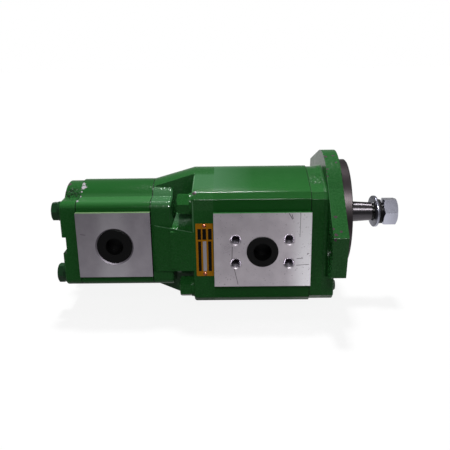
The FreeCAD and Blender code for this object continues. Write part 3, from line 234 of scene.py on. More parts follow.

# %% [markdown]
# ## The coat of green enamel
#
# All the housings are sprayed in the same machinery enamel: a thick, glossy coat whose green hardly varies. To
# the eye it gives broad highlights and bright lines along the edges. Over the green, a painted sheen is drawn:
# the green is painted darker down the middle of a part and lighter towards its sides, and a paler green is
# painted as highlight where the lamps catch the sloping shoulders. So the green follows the distance from the
# middle plane, with soft clouds over it.
#
# Thick paint rounds the long upper edges of the front pump, which the relief imitates. The coat on the upright
# sides is thinner and mirrors less.

# %% The coat of green enamel
# The usual green; the deeper one for the painted shade down the middle and for the flange's mottle; and the
# fuller and paler ones for painted highlights where light grazes the coat, and for the mottle.
GREEN, GREEN_DEEP = colour("27712E"), colour("22652A")
GREEN_FULL, GREEN_PALE = colour("4A8C50"), colour("52895D")
# The clouds' size in mm and their share, and how far from the middle plane the painted sheen starts and ends to
# lighten the green.
CLOUD_MM, CLOUD_SHARE = 9.0, 0.3
SHADED_WITHIN, LIGHTEST_FROM = 5.0, 48.0
# The coat's roughness where it is glossiest and where it is dullest.
GLOSSIEST, DULLEST = 0.12, 0.2
# The painted rims of the front pads, as |y| in mm, and how strongly and how softly the painted highlight shows.
PAD_RIMS = (60.0, 61.0)
LIT_SHARE, LIT_FADE_MM = 0.72, 4.0
# How strongly the coat mirrors, and the height of the pump's top above the shaft's axis, in mm.
TOP_SHEEN, SIDE_SHEEN = 0.24, 0.08
PUMP_TOP = 60.0
# Over how many mm the mirroring changes, sideways and downwards.
SIDE_FADE_MM, DOWN_FADE_MM = 1.0, 2.0
# Where the long edges start and end to round, as |y| in mm, and by how much.
EDGE_START, EDGE_END = 38.0, 50.0
EDGE_DROP_MM = 0.75


def enamel(tree, mm, lit=PAD_RIMS, highlight_green=GREEN_FULL):
    """Even enamel with painted sheen, and painted highlight where |y| in mm is within lit, by default the pads'
    rims.
    """
    cloud = add(tree, "TexNoise", {"Vector": mm, "Scale": 1 / CLOUD_MM, "Detail": 4.0}).outputs["Fac"]
    out = sideways(tree, mm)
    outer = add(tree, "MapRange", {0: out, 1: SHADED_WITHIN, 2: LIGHTEST_FROM}).outputs[0]
    # Painted sheen: the green is darker down the middle and lighter towards the sides.
    paleness = add(tree, "Math", {0: cloud, 1: CLOUD_SHARE, 2: outer}, operation="MULTIPLY_ADD").outputs[0]
    tints = {"Factor": paleness, COLOUR_A: GREEN_DEEP, COLOUR_B: GREEN}
    tint = add(tree, "Mix", tints, data_type="RGBA").outputs[MIXED_COLOUR]
    # Painted highlight: a paler green where |y| is within lit.
    middle, half = (lit[0] + lit[1]) / 2, (lit[1] - lit[0]) / 2
    beside = add(tree, "Math", {0: out, 1: middle}, operation="SUBTRACT").outputs[0]
    beside = add(tree, "Math", {0: beside}, operation="ABSOLUTE").outputs[0]
    share = add(tree, "MapRange", {0: beside, 1: half, 2: half + LIT_FADE_MM, 3: LIT_SHARE, 4: 0.0}).outputs[0]
    tints = {"Factor": share, COLOUR_A: tint, COLOUR_B: highlight_green}
    tint = add(tree, "Mix", tints, data_type="RGBA").outputs[MIXED_COLOUR]
    rough = add(tree, "MapRange", {0: cloud, 3: GLOSSIEST, 4: DULLEST}).outputs[0]
    return tint, 0.0, rough


def shoulder(tree, mm, height):
    """Rounds the relief before the long upper edges, where thick paint softens them."""
    past = add(tree, "MapRange", {0: sideways(tree, mm), 1: EDGE_START, 2: EDGE_END}).outputs[0]
    curve = add(tree, "Math", {0: past, 1: past}, operation="MULTIPLY").outputs[0]
    return add(tree, "Math", {0: curve, 1: -EDGE_DROP_MM, 2: height}, operation="MULTIPLY_ADD").outputs[0]


def sheen(tree, mm, side, below=PUMP_TOP):
    """How strongly the enamel mirrors: less on the upright sides, where |y| reaches side and z is under below.
    """
    z = add(tree, "SeparateXYZ", {0: mm}).outputs["Z"]
    outer = add(tree, "MapRange", {0: sideways(tree, mm), 1: side - SIDE_FADE_MM, 2: side}).outputs[0]
    lower = add(tree, "MapRange", {0: z, 1: below, 2: below - DOWN_FADE_MM}).outputs[0]
    upright = add(tree, "Math", {0: outer, 1: lower}, operation="MULTIPLY").outputs[0]
    return add(tree, "MapRange", {0: upright, 3: TOP_SHEEN, 4: SIDE_SHEEN}).outputs[0]


print("enamel ready")

# %% [markdown]
# ## Enamel on sand castings
#
# The covers and the adapter are cast in sand, and the coat softens the sand's grain without hiding it. Three
# noises do that: the grain, the orange peel of the paint and the slow waves of the casting. The coat is
# mottled, since it is thinner on the tips of the grain.
#
# The layers then go on one over another. A pale patch in the adapter's pocket is painted soft highlight. Pocks
# in a poor skin stay dark. Pale lines along sharp edges are painted highlights. Chips show the dull,
# purple-brown old primer, and grime sits in the joints. The flange's coat is duller, and its turned pilot is
# left bare, so that it fits its bore. The marks of turning are finer than a pixel, so they are drawn 0.6 mm
# wide.

# %% Enamel on sand castings
# The grain's size in mm, and between which values of its noise the mottle comes up to its share.
GRIT_MM, GRIT_LOW, GRIT_HIGH = 1.2, 0.35, 0.7
MOTTLE_SHARE = 0.4
# Where the noise is over this value, a pocked place is dark.
POCK_LEVEL = 0.5
# The pits in a poor skin.
PIT_MM, PIT_DEPTH_MM = 1.7, 0.6
# Each relief is a list of grain in mm, height in mm and stretch, as the function relief takes it.
CAST_SKIN = [(2.2, 0.22, EVEN), (4.5, 0.18, EVEN), (14.0, 0.15, EVEN)]
TURNED = [(0.6, 0.02, (1.0, 0.02, 0.02))]
# Each layer is its colour, its share of metal and its roughness.
MOTTLE = (GREEN_FULL, 0.0, 0.2)
# Pale green painted as a soft highlight, matt and mirroring little.
PAINTED_SOFT_HIGHLIGHT = (GREEN_PALE, 0.0, 0.4)
GRIME = (colour("040C06"), 0.0, 0.25)
# Pale green painted as highlights along sharp edges.
PAINTED_EDGE_HIGHLIGHT = (colour("74B07C"), 0.0, 0.3)
OLD_PRIMER = (colour("5E4B54"), 0.0, 0.28)
TURNED_IRON = (colour("373234"), 0.9, 0.36)
EDGE_HIGHLIGHT_SHARE = 0.8
FLANGE_ROUGH, FLANGE_SHEEN = 0.26, 0.13
SOFT_HIGHLIGHT_SHEEN = 0.1


def casting(name, stations=(), chips=(), poor_skin=(), pocks=(), soft_highlit=(), highlit_edges=(), wide=False,
            lit=PAD_RIMS, flange=None, side=None, below=PUMP_TOP):
    """Enamel on a sand casting. All lengths are in mm.

    stations are the joints' x. chips, poor_skin, pocks and soft_highlit are places for spots; soft_highlit get
    a pale patch painted as soft highlight. highlit_edges are lines for straight_marks, along which pale lines
    are painted as highlights. wide ones have the front pump's shoulders. flange is the x of the flange's root
    and of its face, past which the pilot is bare. lit is as in enamel; side and below are as in sheen, and with
    no side the whole piece mirrors as little as a side does.
    """
    material, tree, shader, mm = new_material(name)
    finish = enamel(tree, mm, lit, GREEN_PALE)
    grit = add(tree, "TexNoise", {"Vector": mm, "Scale": 1 / GRIT_MM, "Detail": 2.0}).outputs["Fac"]
    mottle = add(tree, "MapRange", {0: grit, 1: GRIT_LOW, 2: GRIT_HIGH, 4: MOTTLE_SHARE}).outputs[0]
    finish = lay(tree, finish, mottle, MOTTLE)
    height = relief(tree, mm, CAST_SKIN)
    level = SIDE_SHEEN if side is None else sheen(tree, mm, side, below)
    if flange:
        x = add(tree, "SeparateXYZ", {0: mm}).outputs["X"]
        outer, bare = [add(tree, "Math", {0: x, 1: start}, operation="GREATER_THAN").outputs[0]
                       for start in flange]
        tints = {"Factor": mottle, COLOUR_A: GREEN_DEEP, COLOUR_B: GREEN_FULL}
        tint = add(tree, "Mix", tints, data_type="RGBA").outputs[MIXED_COLOUR]
        finish = lay(tree, finish, outer, (tint, 0.0, FLANGE_ROUGH))
        duller = add(tree, "Math", {0: outer, 1: bare}, operation="SUBTRACT").outputs[0]
        level = add(tree, "Mix", {"Factor": duller, NUMBER_A: level, NUMBER_B: FLANGE_SHEEN}).outputs[0]
    # A pale patch painted as soft highlight.
    if soft_highlit:
        highlit = spots(tree, mm, soft_highlit)
        finish = lay(tree, finish, highlit, PAINTED_SOFT_HIGHLIGHT)
        level = add(tree, "Mix", {"Factor": highlit, NUMBER_A: level, NUMBER_B: SOFT_HIGHLIGHT_SHEEN}).outputs[0]
    if pocks:
        hollow = add(tree, "Math", {0: grit, 1: POCK_LEVEL}, operation="GREATER_THAN").outputs[0]
        hollow = add(tree, "Math", {0: hollow, 1: spots(tree, mm, pocks)}, operation="MULTIPLY").outputs[0]
        finish = lay(tree, finish, hollow, GRIME)
    # Pale lines painted as highlights along sharp edges.
    if highlit_edges:
        highlit = add(tree, "Math", {0: straight_marks(tree, mm, highlit_edges), 1: EDGE_HIGHLIGHT_SHARE}, operation="MULTIPLY")
        finish = lay(tree, finish, highlit.outputs[0], PAINTED_EDGE_HIGHLIGHT)
    if chips:
        finish = lay(tree, finish, spots(tree, mm, chips), OLD_PRIMER)
    if stations:
        finish = lay(tree, finish, joints(tree, mm, stations), GRIME)
    if poor_skin:
        pits = add(tree, "TexNoise", {"Vector": mm, "Scale": 1 / PIT_MM, "Detail": 1.0}).outputs["Fac"]
        deep = add(tree, "Math", {0: spots(tree, mm, poor_skin), 1: pits}, operation="MULTIPLY").outputs[0]
        height = add(tree, "Math", {0: deep, 1: PIT_DEPTH_MM, 2: height}, operation="MULTIPLY_ADD").outputs[0]
    if wide:
        height = shoulder(tree, mm, height)
    if flange:
        finish = lay(tree, finish, bare, TURNED_IRON)
        turned = relief(tree, mm, TURNED)
        height = add(tree, "Mix", {"Factor": bare, NUMBER_A: height, NUMBER_B: turned}).outputs[0]
    wear(tree, shader, finish, height)
    put(tree, shader.inputs["Specular IOR Level"], level)
    return material


print("casting finish ready")

# %% [markdown]
# ## The covers, the adapter and the painted steel
#
# Each casting has its own wear, at the places where the real one has it: chips along the flange's edge and
# pocks on the rear cover. Pale lines are painted as highlights along the flange's edges and the adapter's
# ledge and collar, and a pale patch is painted as soft highlight in the adapter's pocket. The nuts, studs and
# washers in the pockets were sprayed together with the castings, with no wear to show.

# %% The covers, the adapter and the painted steel
# The x of the joints. Places are x, y, z and radius, and edges are both ends and half a width, all in mm.
FRONT_JOINT, ADAPTER_JOINT, REAR_JOINT = -28.0, -171.9, -239.5
FLANGE_CHIPS = [(-12.0, -15.5, 57.9, 1.6), (-4.4, -13.7, 58.4, 1.3), (-3.3, -25.4, 54.4, 1.0),
                (-12.4, -32.8, 50.2, 1.0), (-13.1, -39.3, 45.3, 1.1), (-13.1, -36.0, 48.0, 0.9),
                (-9.7, -73.0, 17.6, 1.3), (-11.0, -86.8, 6.2, 1.5), (-12.6, -82.0, 9.8, 1.1),
                (-6.1, -84.2, 8.3, 1.2), (-11.8, -89.8, 2.8, 1.3), (-12.6, -90.2, -6.0, 0.9)]
# Edges along which a pale line is painted as highlight.
FLANGE_EDGES = [((-13.3, -36.0, 48.0), (-13.3, -85.5, 6.9), 0.3),
                ((-13.3, -90.0, 1.0), (-13.3, -90.0, -18.0), 0.35)]
ADAPTER_EDGES = [((-168.0, -46.5, 2.9), (-134.5, -55.2, -0.6), 0.7),
                 ((-133.0, -19.0, 41.6), (-133.0, -51.5, 32.5), 0.9),
                 ((-133.0, -54.6, 27.0), (-133.0, -54.6, -0.5), 0.9)]
front_cover_finish = casting("enamel_on_front_cover_casting", stations=[FRONT_JOINT], chips=FLANGE_CHIPS,
                             poor_skin=[(-21.0, -25.5, 39.2, 8.0)], highlit_edges=FLANGE_EDGES, wide=True,
                             flange=(-17.0, 0.05), side=54.2)
adapter_finish = casting("enamel_on_adapter_casting", stations=[ADAPTER_JOINT],
                         chips=[(-131.5, -50.3, 34.0, 1.8)],
                         soft_highlit=[(-144.5, -42.0, 9.5, 7.2), (-150.5, -48.6, 4.8, 2.6)],
                         highlit_edges=ADAPTER_EDGES, wide=True, lit=(18.0, 42.0), side=45.3, below=20.0)
rear_cover_finish = casting("enamel_on_rear_cover_casting", stations=[REAR_JOINT],
                            chips=[(-252.7, -7.9, 32.3, 2.2)], poor_skin=[(-248.4, -22.3, 24.9, 11.0)],
                            pocks=[(-248.4, -20.3, 25.9, 7.5)], side=45.5)
enamel_on_steel = casting("enamel_on_steel_fasteners")
print("enamels made:", [finish.name for finish in (front_cover_finish, adapter_finish, rear_cover_finish,
                                                   enamel_on_steel)])

# %% [markdown]
# ## Bare, milled pads
#
# The port pads are masked when the pump is painted, so the milled aluminium stays bare there: light, a little
# mauve, with the mill's fine upright marks, oil stains and scratches from handling. Aluminium stains in soft
# clouds, which one large noise gives, and one band of each pad is drawn brighter as a painted reflection. The
# mill's marks are drawn 0.7 mm wide, wider than the real ones, so that they show.

# %% Bare, milled pads
# The stains' size in mm, and between which values of their noise the colour goes from dark to light.
STAIN_MM, STAIN_LOW, STAIN_HIGH = 16.0, 0.3, 0.7
# The specks' size in mm, and the value of their noise over which one shows.
SPECK_MM, SPECK_LEVEL = 1.6, 0.7
PAD_SMOOTHEST, PAD_ROUGHEST = 0.24, 0.34
# A film of oil lies on the pads, so they are a little less than all metal.
PAD_METAL = 0.9
# A painted reflection: near white, mixed into one band of each pad.
PAINTED_REFLECTION = colour("F6F4FA")
POCKED = (colour("A7A0A8"), PAD_METAL, 0.5)
SCRATCHED = (colour("6B646C"), PAD_METAL, 0.5)
MILLED = [(0.7, 0.02, (1.0, 1.0, 0.03)), (1.2, 0.02, EVEN)]


def onto_side(tree, mm):
    """The place with no y, as it is drawn on the pump's side."""
    return add(tree, "VectorMath", {0: mm, 1: (1.0, 0.0, 1.0)}, operation="MULTIPLY").outputs[0]


def milled_aluminium(tree, mm, dark, light, marks, reflection_band):
    """The bare pad. dark and light are the ends of its stains' colour, as hex values.

    marks are scratches: x and z of both ends, and half a width. reflection_band is a band drawn brighter as a
    painted reflection: from the first x to the second, fading over the third length, with the fourth number as
    its strength.
    """
    stain = add(tree, "TexNoise", {"Vector": mm, "Scale": 1 / STAIN_MM, "Detail": 5.0, "Roughness": 0.6})
    spread = add(tree, "MapRange", {0: stain.outputs["Fac"], 1: STAIN_LOW, 2: STAIN_HIGH}).outputs[0]
    tints = {"Factor": spread, COLOUR_A: colour(dark), COLOUR_B: colour(light)}
    tint = add(tree, "Mix", tints, data_type="RGBA").outputs[MIXED_COLOUR]
    # The painted reflection: a band of the pad mixed towards near white.
    start, end, fade, strength = reflection_band
    x = add(tree, "SeparateXYZ", {0: mm}).outputs["X"]
    beside = add(tree, "Math", {0: x, 1: (start + end) / 2}, operation="SUBTRACT").outputs[0]
    beside = add(tree, "Math", {0: beside}, operation="ABSOLUTE").outputs[0]
    half = (end - start) / 2
    reflected = add(tree, "MapRange", {0: beside, 1: half, 2: half + fade, 3: strength, 4: 0.0},
                interpolation_type="SMOOTHSTEP").outputs[0]
    tints = {"Factor": reflected, COLOUR_A: tint, COLOUR_B: PAINTED_REFLECTION}
    tint = add(tree, "Mix", tints, data_type="RGBA").outputs[MIXED_COLOUR]
    rough = add(tree, "MapRange", {0: stain.outputs["Fac"], 3: PAD_SMOOTHEST, 4: PAD_ROUGHEST}).outputs[0]
    speck = add(tree, "TexNoise", {"Vector": mm, "Scale": 1 / SPECK_MM, "Detail": 2.0}).outputs["Fac"]
    pocked = add(tree, "Math", {0: speck, 1: SPECK_LEVEL}, operation="GREATER_THAN").outputs[0]
    finish = lay(tree, (tint, PAD_METAL, rough), pocked, POCKED)
    lines = [((x0, 0.0, z0), (x1, 0.0, z1), half_width) for x0, z0, x1, z1, half_width in marks]
    return lay(tree, finish, straight_marks(tree, onto_side(tree, mm), lines), SCRATCHED)


print("milled finish ready")

# %% [markdown]
# ## Enamel on the extruded bodies
#
# The two pump bodies are cut from long aluminium extrusions, so under the enamel their skin has faint lines
# along the shaft in place of a casting's grain. A body is painted everywhere but on its pads and in the holes
# behind them, so two thresholds part paint and metal: the distance from the middle plane, and the distance from
# each hole's axis. The walls of the port are drawn darker.

# %% Enamel on the extruded bodies
# The bodies' upright sides, and the rear body's sloping shoulders where a paler green is painted as highlight,
# as |y| in mm.
FRONT_SIDE, REAR_SIDE = 55.2, 45.5
REAR_SHOULDERS = (25.0, 40.0)
# How far the rim of thin paint reaches back from the pad's face, and half its height, in mm.
RIM_DEPTH_MM, RIM_HALF_MM = 3.6, 0.35
# A paler green is painted as highlight on the front body's top: it fades out from one x to the other
# and stays inside this |y|, in mm.
SHEEN_PATCH_START, SHEEN_PATCH_END, SHEEN_PATCH_INSIDE = -114.6, -78.0, 47.0
SHEEN_PATCH_SHARE = 0.8
EXTRUDED_SKIN = [(1.8, 0.03, ALONG_SHAFT), (2.2, 0.17, EVEN), (12.0, 0.07, EVEN)]
PAINTED_SHEEN_PATCH = (GREEN_PALE, 0.0, 0.2)
LOST_PAINT = (colour("C9C2CC"), 0.0, 0.5)
THIN_RIM = (colour("7FA370"), 0.0, 0.4)
PORT_WALL = (colour("77727A"), PAD_METAL, 0.6)


def extruded_body(name, pad_y, holes, stations, pad, chips=(), wide=False, ledge=None):
    """Enamel on an extrusion, bare where |y| is past pad_y and in the holes. All lengths are in mm.

    Each hole is x, z and radius, and the first one is the port. pad is what milled_aluminium takes. chips show
    bare metal. wide is the front pump's body, whose top has a paler green painted as highlight near the
    adapter.
    ledge is the z at which the pad's top edge shows thinly laid, yellowish paint.
    """
    material, tree, shader, mm = new_material(name)
    finish = enamel(tree, mm, PAD_RIMS if wide else REAR_SHOULDERS)
    finish = lay(tree, finish, joints(tree, mm, stations), GRIME)
    if chips:
        finish = lay(tree, finish, spots(tree, mm, chips), LOST_PAINT)
    axes = add(tree, "SeparateXYZ", {0: mm}).outputs
    out = sideways(tree, mm)
    # A paler green painted as highlight on the top, near the adapter.
    if wide:
        fade = add(tree, "MapRange", {0: axes["X"], 1: SHEEN_PATCH_START, 2: SHEEN_PATCH_END, 3: SHEEN_PATCH_SHARE, 4: 0.0})
        inner = add(tree, "Math", {0: out, 1: SHEEN_PATCH_INSIDE}, operation="LESS_THAN").outputs[0]
        sheen_patch = add(tree, "Math", {0: fade.outputs[0], 1: inner}, operation="MULTIPLY").outputs[0]
        finish = lay(tree, finish, sheen_patch, PAINTED_SHEEN_PATCH)
    bare = add(tree, "Math", {0: out, 1: pad_y}, operation="GREATER_THAN").outputs[0]
    flat = onto_side(tree, mm)
    within = []
    for x, z, radius in holes:
        away = add(tree, "VectorMath", {0: flat, 1: (x, 0.0, z)}, operation="DISTANCE").outputs["Value"]
        within.append(add(tree, "Math", {0: away, 1: radius}, operation="LESS_THAN").outputs[0])
        bare = add(tree, "Math", {0: within[-1], 1: bare}, operation="MAXIMUM").outputs[0]
    if ledge is not None:
        high = add(tree, "Math", {0: axes["Z"], 1: ledge, 2: RIM_HALF_MM}, operation="COMPARE").outputs[0]
        proud = add(tree, "Math", {0: out, 1: pad_y - RIM_DEPTH_MM}, operation="GREATER_THAN").outputs[0]
        rim = add(tree, "Math", {0: high, 1: proud}, operation="MULTIPLY").outputs[0]
        finish = lay(tree, finish, rim, THIN_RIM)
    finish = lay(tree, finish, bare, milled_aluminium(tree, mm, *pad))
    finish = lay(tree, finish, within[0], PORT_WALL)
    skin = relief(tree, mm, EXTRUDED_SKIN)
    if wide:
        skin = shoulder(tree, mm, skin)
    mill = relief(tree, mm, MILLED)
    height = add(tree, "Mix", {"Factor": bare, NUMBER_A: skin, NUMBER_B: mill}).outputs[0]
    wear(tree, shader, finish, height)
    level = sheen(tree, mm, FRONT_SIDE if wide else REAR_SIDE)
    put(tree, shader.inputs["Specular IOR Level"], level)
    return material


print("body finish ready")

# %% [markdown]
# ## The two pump bodies
#
# The front body has the flanged port, with four tapped holes at the corners of a 47.6 by 22.2 mm rectangle
# round it. The rear body has one large threaded port. Paint was knocked off the rear body's upper edge, beside
# the rear cover.

# %% The two pump bodies
# The port's axis and half the spacing of its bolts. Pads are bare from this |y| outwards. All in mm.
PORT_X, PORT_Z = -71.3, -17.9
BOLT_X, BOLT_Z = 23.8, 11.1
FRONT_PAD, REAR_PAD = 61.3, 49.4
BOLT_CENTRES = [(PORT_X + BOLT_X * a, PORT_Z + BOLT_Z * b) for a in (-1, 1) for b in (-1, 1)]
FRONT_HOLES = [(PORT_X, PORT_Z, 9.8)] + [(x, z, 5.4) for x, z in BOLT_CENTRES]
FRONT_MARKS = [(-48.0, 17.5, -45.2, 12.5, 0.35), (-45.6, 16.5, -44.6, 13.0, 0.3),
               (-38.0, 18.0, -38.3, -4.0, 0.2), (-98.2, -13.0, -98.6, -25.0, 0.3),
               (-98.6, -25.0, -93.4, -49.0, 0.25), (-40.5, -24.6, -35.5, -24.2, 0.3),
               (-41.0, -31.0, -30.0, -30.4, 0.25)]
REAR_HOLES = [(-205.7, -16.2, 17.6)]
REAR_MARKS = [(-236.0, -4.0, -231.5, -4.6, 0.25)]
REAR_CHIPS = [(-237.4, -14.6, 31.4, 2.6), (-238.6, -10.0, 33.0, 2.0), (-238.8, -37.9, 24.4, 1.6),
              (-238.6, -20.0, 28.2, 0.9), (-238.7, -24.0, 24.9, 0.8)]
front_body_finish = extruded_body("enamel_and_bare_pads_on_front_extrusion", FRONT_PAD, FRONT_HOLES,
                                  [FRONT_JOINT],
                                  ("C6BEC7", "DAD2DA", FRONT_MARKS, (-34.0, -20.0, 17.0, 0.8)), wide=True)
# The rear pad is the same milled aluminium as the front one; its darker greys are painted shade.
rear_body_finish = extruded_body("enamel_and_bare_pads_on_rear_extrusion", REAR_PAD, REAR_HOLES,
                                 [ADAPTER_JOINT, REAR_JOINT],
                                 ("A29CA6", "B2ACB5", REAR_MARKS, (-212.0, -202.0, 14.0, 0.22)),
                                 chips=REAR_CHIPS, ledge=16.0)
print("body finishes made:", [front_body_finish.name, rear_body_finish.name])

# %% [markdown]
# ## Metals, rubber and plastic
#
# The other parts are plain: each has one colour, one roughness and the faint grain of how it was made. A whole
# set of scanned surfaces could be used for them, but at this size a noise of the right grain looks the same.
# Turned and ground parts get marks round the shaft, which pull a highlight out into bands. The real marks are
# a few hundredths of a millimetre apart, so they are drawn half a millimetre apart to show at all.

# %% Metals, rubber and plastic
def plain(name, hex_value, metallic, roughness, parts):
    """A finish of one colour over a fine relief."""
    material, tree, shader, mm = new_material(name)
    wear(tree, shader, (colour(hex_value), metallic, roughness), relief(tree, mm, parts))
    return material


# Ground on a wheel: bright, with highlights in bands round the part.
ground_steel = plain("ground_steel", "9C9798", 1.0, 0.16, [(0.5, 0.012, ROUND_SHAFT)])
# Electroplated and passivated: a bluish silver with soft reflections.
zinc_plate = plain("zinc_plated_steel", "AFB0BE", 1.0, 0.24, [(0.8, 0.02, EVEN), (5.0, 0.05, EVEN)])
# The same plating, drawn darker and a little duller for the shaft's washer.
dull_zinc = plain("dulled_zinc_plated_steel", "8E8F9C", 1.0, 0.3, [(0.8, 0.02, EVEN)])
# The green enamel on the rear cover's bolt heads, painted darker as painted shade, over the forged heads'
# dents.
shaded_bolt_enamel = plain("enamel_with_painted_shade_on_bolt_heads", "1C4A27", 0.0, 0.25, [(1.2, 0.05, EVEN), (4.0, 0.1, EVEN)])
# Blackened in a hot salt bath and oiled: almost black, with weak highlights.
black_oxide = plain("black_oxide_steel", "09090A", 0.3, 0.5, [(0.8, 0.01, EVEN)])
# Cut threads in bare aluminium: bright, with the light broken by the ridges.
tapped = plain("tapped_aluminium", "A29EA6", 1.0, 0.3, [(0.8, 0.01, EVEN)])
# Turned and bored blocks: an even, satin grey.
bearing_alloy = plain("machined_bearing_alloy", "A9A8A6", 1.0, 0.35, [(0.5, 0.01, EVEN)])
# Pressed powder, full of oil: a warm brown with soft highlights.
bronze = plain("sintered_bronze", "A9763E", 1.0, 0.4, [(0.4, 0.02, EVEN)])
# Moulded and dull, so it hardly mirrors at all.
nitrile = plain("moulded_nitrile_rubber", "151515", 0.0, 0.6, [(0.5, 0.01, EVEN)])
# Thin plating on the data plate's drive screws: warm and a little tarnished.
copper = plain("copper_plated_steel", "9A5C48", 1.0, 0.4, [(0.6, 0.02, EVEN)])
# Moulded plugs: a deep black with a waxy skin and slow waves where the plastic shrank.
polyethylene = plain("moulded_black_polyethylene", "060608", 0.0, 0.42, [(0.9, 0.02, EVEN), (6.0, 0.1, EVEN)])
# These three mirror less than bare metal or new paint does.
for weak, level in ((polyethylene, 0.14), (black_oxide, 0.12), (shaded_bolt_enamel, 0.2)):
    weak.node_tree.nodes["Principled BSDF"].inputs["Specular IOR Level"].default_value = level
print("plain finishes made")

# %% [markdown]
# ## Drive shaft
#
# The shaft is one piece with two finishes: its taper is ground steel, drawn a darker grey than the other ground
# steel as painted shade, and past the taper the threaded end is blackened so that it doesn't rust. A single
# threshold along the shaft parts the two. Grinding leaves marks round the taper, so its highlight stretches
# along the shaft, which an anisotropic shader gives.

# %% Drive shaft finish
TAPER_END = 36.3
SHAFT_ROUGH = 0.5
shaft_finish, tree, shader, mm = new_material("ground_and_blackened_steel")
x = add(tree, "SeparateXYZ", {0: mm}).outputs["X"]
past_taper = add(tree, "Math", {0: x, 1: TAPER_END}, operation="GREATER_THAN").outputs[0]
# The taper's grey is darker than ground steel's own colour: painted shade.
layers = lay(tree, (colour("6A666B"), 1.0, SHAFT_ROUGH), past_taper, (colour("0C0C0D"), 0.3, SHAFT_ROUGH))
wear(tree, shader, layers, relief(tree, mm, [(0.5, 0.012, ROUND_SHAFT)]))
put(tree, shader.inputs["Tangent"], add(tree, "CombineXYZ", {"X": 1.0}).outputs[0])
shader.inputs["Anisotropic"].default_value = 1.0
print("drive shaft finish made, taper ends at", TAPER_END, "mm")

# %% [markdown]
# ## Data plate
#
# The plate is thin aluminium, anodised and printed in amber, with black fields and one field left silver for
# stamping. The fields stay empty here. Each one is a rectangle mask over the amber.

# %% Data plate finish
AMBER_PRINT = (colour("E29610"), 0.1, 0.3)
BLACK_INK = (colour("0A0908"), 0.0, 0.2)
SILVER = (colour("B9B6C0"), 0.6, 0.3)
UPPER_FIELDS = ((-129.2, -126.0, BLACK_INK), (-124.8, -121.5, BLACK_INK), (-119.8, -116.5, BLACK_INK))
LOWER_FIELDS = ((-128.9, -126.2, BLACK_INK), (-124.6, -121.5, SILVER), (-119.9, -116.9, BLACK_INK))
plate_finish, tree, shader, mm = new_material("amber_print_on_anodised_aluminium")
layers = AMBER_PRINT
for row, top, bottom in ((UPPER_FIELDS, 2.3, -7.9), (LOWER_FIELDS, -9.5, -38.3)):
    for x0, x1, ink in row:
        layers = lay(tree, layers, field(tree, mm, x0, x1, top, bottom), ink)
wear(tree, shader, layers, relief(tree, mm, [(1.5, 0.02, EVEN)]))
shader.inputs["Specular IOR Level"].default_value = 0.12
print("data plate finish made, fields:", len(UPPER_FIELDS) + len(LOWER_FIELDS))

# %% [markdown]
# ## Which finish goes on which part
#
# The record of the pump names a finish slot for every part, so most finishes are handed out by slot. The
# covers, the rear body, the drive shaft and a few fasteners have finishes of their own.

# %% Hand out the finishes
BY_SLOT = {
    "painted_casting": adapter_finish,
    "painted_extrusion": front_body_finish,
    "painted_steel": enamel_on_steel,
    "ground_steel": ground_steel,
    "zinc_plate": zinc_plate,
    "black_steel": black_oxide,
    "bearing_aluminium": bearing_alloy,
    "bearing_bronze": bronze,
    "nitrile_rubber": nitrile,
    "printed_plate": plate_finish,
    "copper_rivet": copper,
    "black_polyethylene": polyethylene,
}
BY_PART = {
    "front_cover": front_cover_finish,
    "rear_cover": rear_cover_finish,
    "rear_pump_body": rear_body_finish,
    "front_drive_shaft": shaft_finish,
    "shaft_washer": dull_zinc,
    # The rear cover's bolts and washers get the green enamel painted darker as painted shade.
    "rear_cover_bolts": shaded_bolt_enamel,
    "rear_bolt_washers": shaded_bolt_enamel,
}
for entry in frame["record"]["subparts"]:
    part = nodes[entry["node"]]
    part.data.materials.clear()
    part.data.materials.append(BY_PART.get(entry["node"], BY_SLOT[entry["material_slot"]]))

# %% [markdown]
# ## The washer's rolled edge
#
# The flat washer under the shaft's nut is stamped, and the stamping rolls its edges round. On the real pump
# that edge draws a thin, bright ring. The part arrives as loose triangles, so a Weld modifier joins them before
# the Bevel modifier rounds the edge.

# %% Round the washer's edge
washer = nodes["shaft_washer"]
weld = washer.modifiers.new("joined", "WELD")
weld.merge_threshold = 0.002 * MM
rounding = washer.modifiers.new("rolled_edge", "BEVEL")
rounding.width = 0.6 * MM
rounding.segments = 3
rounding.limit_method = "ANGLE"
rounding.angle_limit = math.radians(50)
rounding.harden_normals = True
print("washer's edge rounded:", round(rounding.width / MM, 1), "mm")

# %% [markdown]
# ## Threads
#
# The modelled holes and shafts are plain cylinders at the size of their thread. A thread is a ridge that winds
# round, and spinning one short profile with a step along the axis draws exactly that. The ridges in the four
# tapped holes of each flanged port stand inwards, and those on the drive shaft's end stand outwards.

# %% Threads
# Pitch and half a ridge's width, then the radius of root and crest and where each thread starts, all in mm.
THREAD_PITCH, RIDGE_HALF = 1.5, 0.7
TAP_ROOT, TAP_CREST, TAP_MOUTH = 4.24, 3.7, 60.0
SHAFT_ROOT, SHAFT_CREST, SHAFT_THREAD_X = 7.95, 8.35, 39.3
STEPS_A_TURN, TAP_TURNS, SHAFT_TURNS = 24, 8, 5


